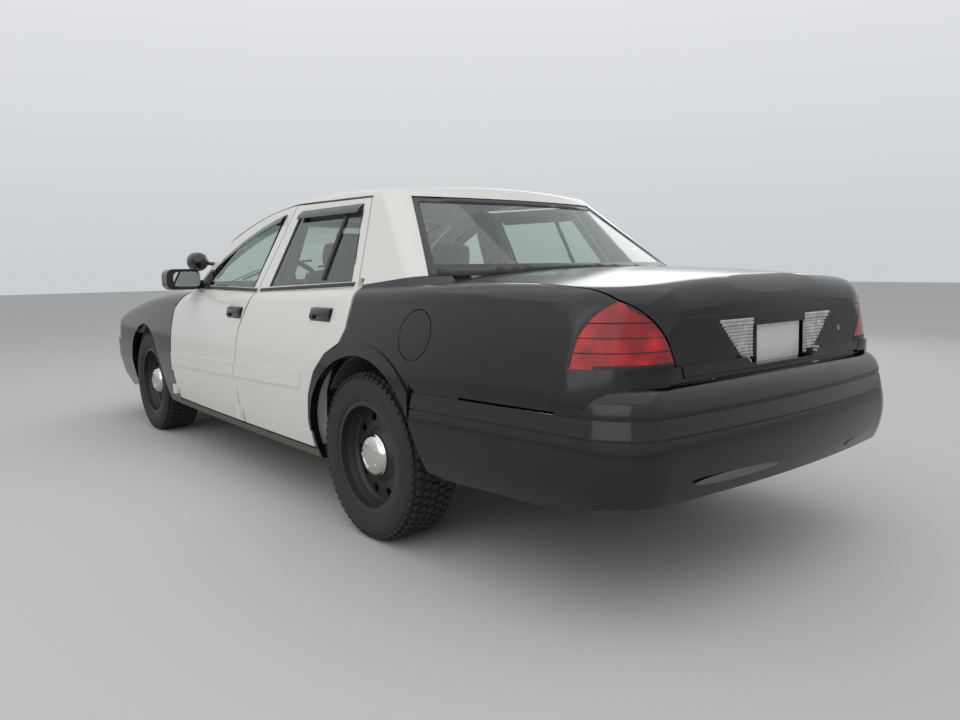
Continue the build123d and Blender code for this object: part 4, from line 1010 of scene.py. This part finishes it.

# %% [markdown]
# ## Swellings of the bumper
# Low on the bumper two shallow moulded swellings catch the sky as long highlights. Each is a flattened
# sphere, set where the camera sees it and turned to the surface, and its light grey colour is a painted
# highlight.

# %% Bumper swellings
SWELLINGS = {"near": ((739, 473), (778, 463)), "far": ((857, 438), (868, 432))}
SWELLING_HEIGHT, SWELLING_HALF_WIDTH = 0.005, 0.015


def seen_at(tree, pixel_x, pixel_y):
    ray = look * FOCAL_PIXELS + right * (pixel_x - PHOTO_WIDTH / 2) - above * (pixel_y - PHOTO_HEIGHT / 2)
    return struck(tree, [CAMERA_PLACE], ray.normalized())[0]


cover = surface("rear_bumper")
for name, (middle, tip) in SWELLINGS.items():
    (place, out), (ahead, _) = seen_at(cover, *middle), seen_at(cover, *tip)
    heading = (ahead - place).normalized()
    bm = bmesh.new()
    bmesh.ops.create_uvsphere(bm, u_segments=48, v_segments=24, radius=1)
    bmesh.ops.scale(bm, vec=((ahead - place).length, SWELLING_HEIGHT, SWELLING_HALF_WIDTH), verts=bm.verts)
    bmesh.ops.transform(bm, matrix=turned_to(place, heading, out), verts=bm.verts)
    # the grey finish is a painted highlight, lighter than the black bumper round it
    finished(bm, f"bumper_swelling_{name}", "body", "painted_highlight_grey")

# %% [markdown]
# ## Seats
# The cushions are foam under a woven cover: full in the middle, drawn in at the corners, with a sewn channel
# near each side. A cube cut into a fine grid is drawn part of the way towards a ball, which gives such a
# form, and the channels are pressed in before the mesh is smoothed.


# %% A padded form
def pad(bm, size, place, roundness=0.35, channel=0.62, depth=0.006):
    part = bmesh.new()
    bmesh.ops.create_cube(part, size=2)
    bmesh.ops.subdivide_edges(part, edges=list(part.edges), cuts=11, use_grid_fill=True)
    for v in part.verts:
        x, y, z = v.co
        ball = Vector((x * math.sqrt(1 - y * y / 2 - z * z / 2 + y * y * z * z / 3),
                       y * math.sqrt(1 - z * z / 2 - x * x / 2 + z * z * x * x / 3),
                       z * math.sqrt(1 - x * x / 2 - y * y / 2 + x * x * y * y / 3)))
        v.co = v.co.lerp(ball, roundness)
        seam = math.exp(-((abs(y) - channel) / 0.06) ** 2)
        v.co.z -= depth / size[2] * 2 * seam * (1 if z > 0 else 0)
    bmesh.ops.smooth_vert(part, verts=part.verts, factor=0.3, use_axis_x=True, use_axis_y=True,
                          use_axis_z=True)
    bmesh.ops.scale(part, vec=[length / 2 for length in size], verts=part.verts)
    joined(bm, part, place)


def leaning(x, y, z, degrees):
    # a back's own Z faces forward: it is tipped upright and leans back by the angle
    return shift(x, y, z) @ spun(90 - degrees, "Y")


def soft(name, size, place, replaced, **form):
    bm = bmesh.new()
    pad(bm, size, place, **form)
    finished(bm, name, "body", "seat_fabric", replaces=(replaced,))


# %% Seat cushions, backs and headrests
CUSHION, BACK, HEADREST = (0.52, 0.50, 0.22), (0.54, 0.50, 0.15), (0.17, 0.27, 0.09)
BENCH, BENCH_BACK = (0.50, 1.22, 0.26), (0.50, 1.22, 0.17)
POST = [(0.0, 0.0), (0.0, 0.006), (0.14, 0.006), (0.14, 0.0)]
for name, y in (("driver_seat", 0.365), ("passenger_seat", -0.365)):
    soft(f"{name}_cushion", CUSHION, shift(0.155, y, 0.520), "front_seats")
    soft(f"{name}_back", BACK, leaning(-0.165, y, 0.845, 12), "front_seats")
    soft(f"{name}_headrest", HEADREST, leaning(-0.215, y, 1.165, 6), "front_seats", roundness=0.5, channel=2)
    bm = bmesh.new()
    for across in (-0.06, 0.06):
        turned(bm, POST, shift(-0.222, y + across, 1.02) @ spun(-92, "Y"), steps=16)
    finished(bm, f"{name}_headrest_posts", "body", "bright_metal")
    bm = bmesh.new()
    block(bm, (0.46, 0.42, 0.05), shift(0.150, y, 0.408), bevel=0.008)
    finished(bm, f"{name}_base", "body", "trim_plastic")
soft("rear_bench_cushion", BENCH, shift(-0.815, 0, 0.520), "rear_seat", channel=0.02, depth=0.010)
soft("rear_bench_back", BENCH_BACK, leaning(-1.095, 0, 0.735, 18), "rear_seat", channel=0.02, depth=0.010)

# %% [markdown]
# ## Inside the cabin
# The driver looks at an instrument hood on the dashboard and up at a mirror on the glass, and a console
# stands between the seats. They are moulded boxes, so they are blocks with wide bevels.

# %% Instrument hood, console and inside mirror
DRIVER_Y = 0.370
_, dash_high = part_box("dashboard")
bm = bmesh.new()
block(bm, (0.17, 0.42, 0.055), shift(0.665, DRIVER_Y, dash_high.z + 0.012), bevel=0.022, segments=4)
finished(bm, "instrument_hood", "body", "trim_plastic")
bm = bmesh.new()
block(bm, (0.36, 0.17, 0.26), shift(0.42, 0, 0.515), bevel=0.014, segments=3)
for row in range(4):
    block(bm, (0.012, 0.14, 0.040), shift(0.243, 0, 0.43 + row * 0.052), bevel=0.004)
finished(bm, "console", "body", "trim_plastic")
bm = bmesh.new()
block(bm, (0.022, 0.235, 0.062), shift(0.315, 0, 1.295) @ spun(12, "Y"), bevel=0.010, segments=3)
block(bm, (0.060, 0.018, 0.016), shift(0.345, 0, 1.312), bevel=0.005)
finished(bm, "inside_mirror", "body", "trim_plastic")

# %% [markdown]
# ## Wipers
# Two wipers rest on the lower edge of the windshield. The blade is one section with a thin rubber lip, swept
# along the glass. An arm reaches it from a turned spindle in the cowl.

# %% Wipers
WIPER_LINES = {"left": ((0.835, 0.52), (0.800, 0.30), (0.790, 0.05)),
               "right": ((0.835, -0.02), (0.815, -0.25), (0.800, -0.50))}
BLADE = [(-0.002, 0.0), (0.002, 0.0), (0.004, 0.006), (0.008, 0.008), (0.008, 0.013), (-0.008, 0.013),
         (-0.008, 0.008), (-0.004, 0.006)]
SPINDLE = [(0.0, 0.0), (0.0, 0.013), (0.018, 0.012), (0.022, 0.008), (0.022, 0.0)]
UP, BLADE_STEP = Vector((0, 0, 1)), 0.0475
screen = surface("windshield")
for name, points in WIPER_LINES.items():
    starts = [(x, y, OVERHEAD) for x, y in along(points, BLADE_STEP)]
    spots = struck(screen, starts, (0, 0, -1))
    middle = spots[len(spots) // 2][0]
    pivot_y = points[0][1] + 0.05
    bend = middle.lerp(Vector((0.900, pivot_y, 1.020)), 0.5)
    bm = bmesh.new()
    sweep(bm, spots, BLADE)
    sweep(bm, [(middle + UP * 0.016, UP), (bend + UP * 0.022, UP), (Vector((0.905, pivot_y, 1.030)), UP)],
          bar(0.012, 0.007))
    turned(bm, SPINDLE, shift(0.905, pivot_y, 1.014) @ spun(-90, "Y"), steps=20)
    finished(bm, f"wiper_{name}", "body", "black_rubber")

# %% [markdown]
# ## Grille
# The grille has level bright bars across its opening. Each is one bar section swept along the curved front.

# %% Grille bars
BAR_ROWS, FIRST_BAR, BAR_PITCH = 4, 0.018, 0.027
GRILLE_HALF, GRILLE_STEPS = 0.405, 24
grille_low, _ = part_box("grille")
opening = surface("grille")
bm = bmesh.new()
for row in range(BAR_ROWS):
    z = grille_low.z + FIRST_BAR + row * BAR_PITCH
    ys = [2 * GRILLE_HALF * step / GRILLE_STEPS - GRILLE_HALF for step in range(GRILLE_STEPS + 1)]
    sweep(bm, struck(opening, [(AHEAD, y, z) for y in ys], (-1, 0, 0)), bar(0.008, 0.007))
finished(bm, "grille_bars", "body", "bright_edge")

# %% [markdown]
# ## Sizes
# The size of the dressed car is written down as one box.

# %% Size of the dressed car, and the end
low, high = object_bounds()
print("dressed box", [round(v, 3) for v in (*low, *high)])
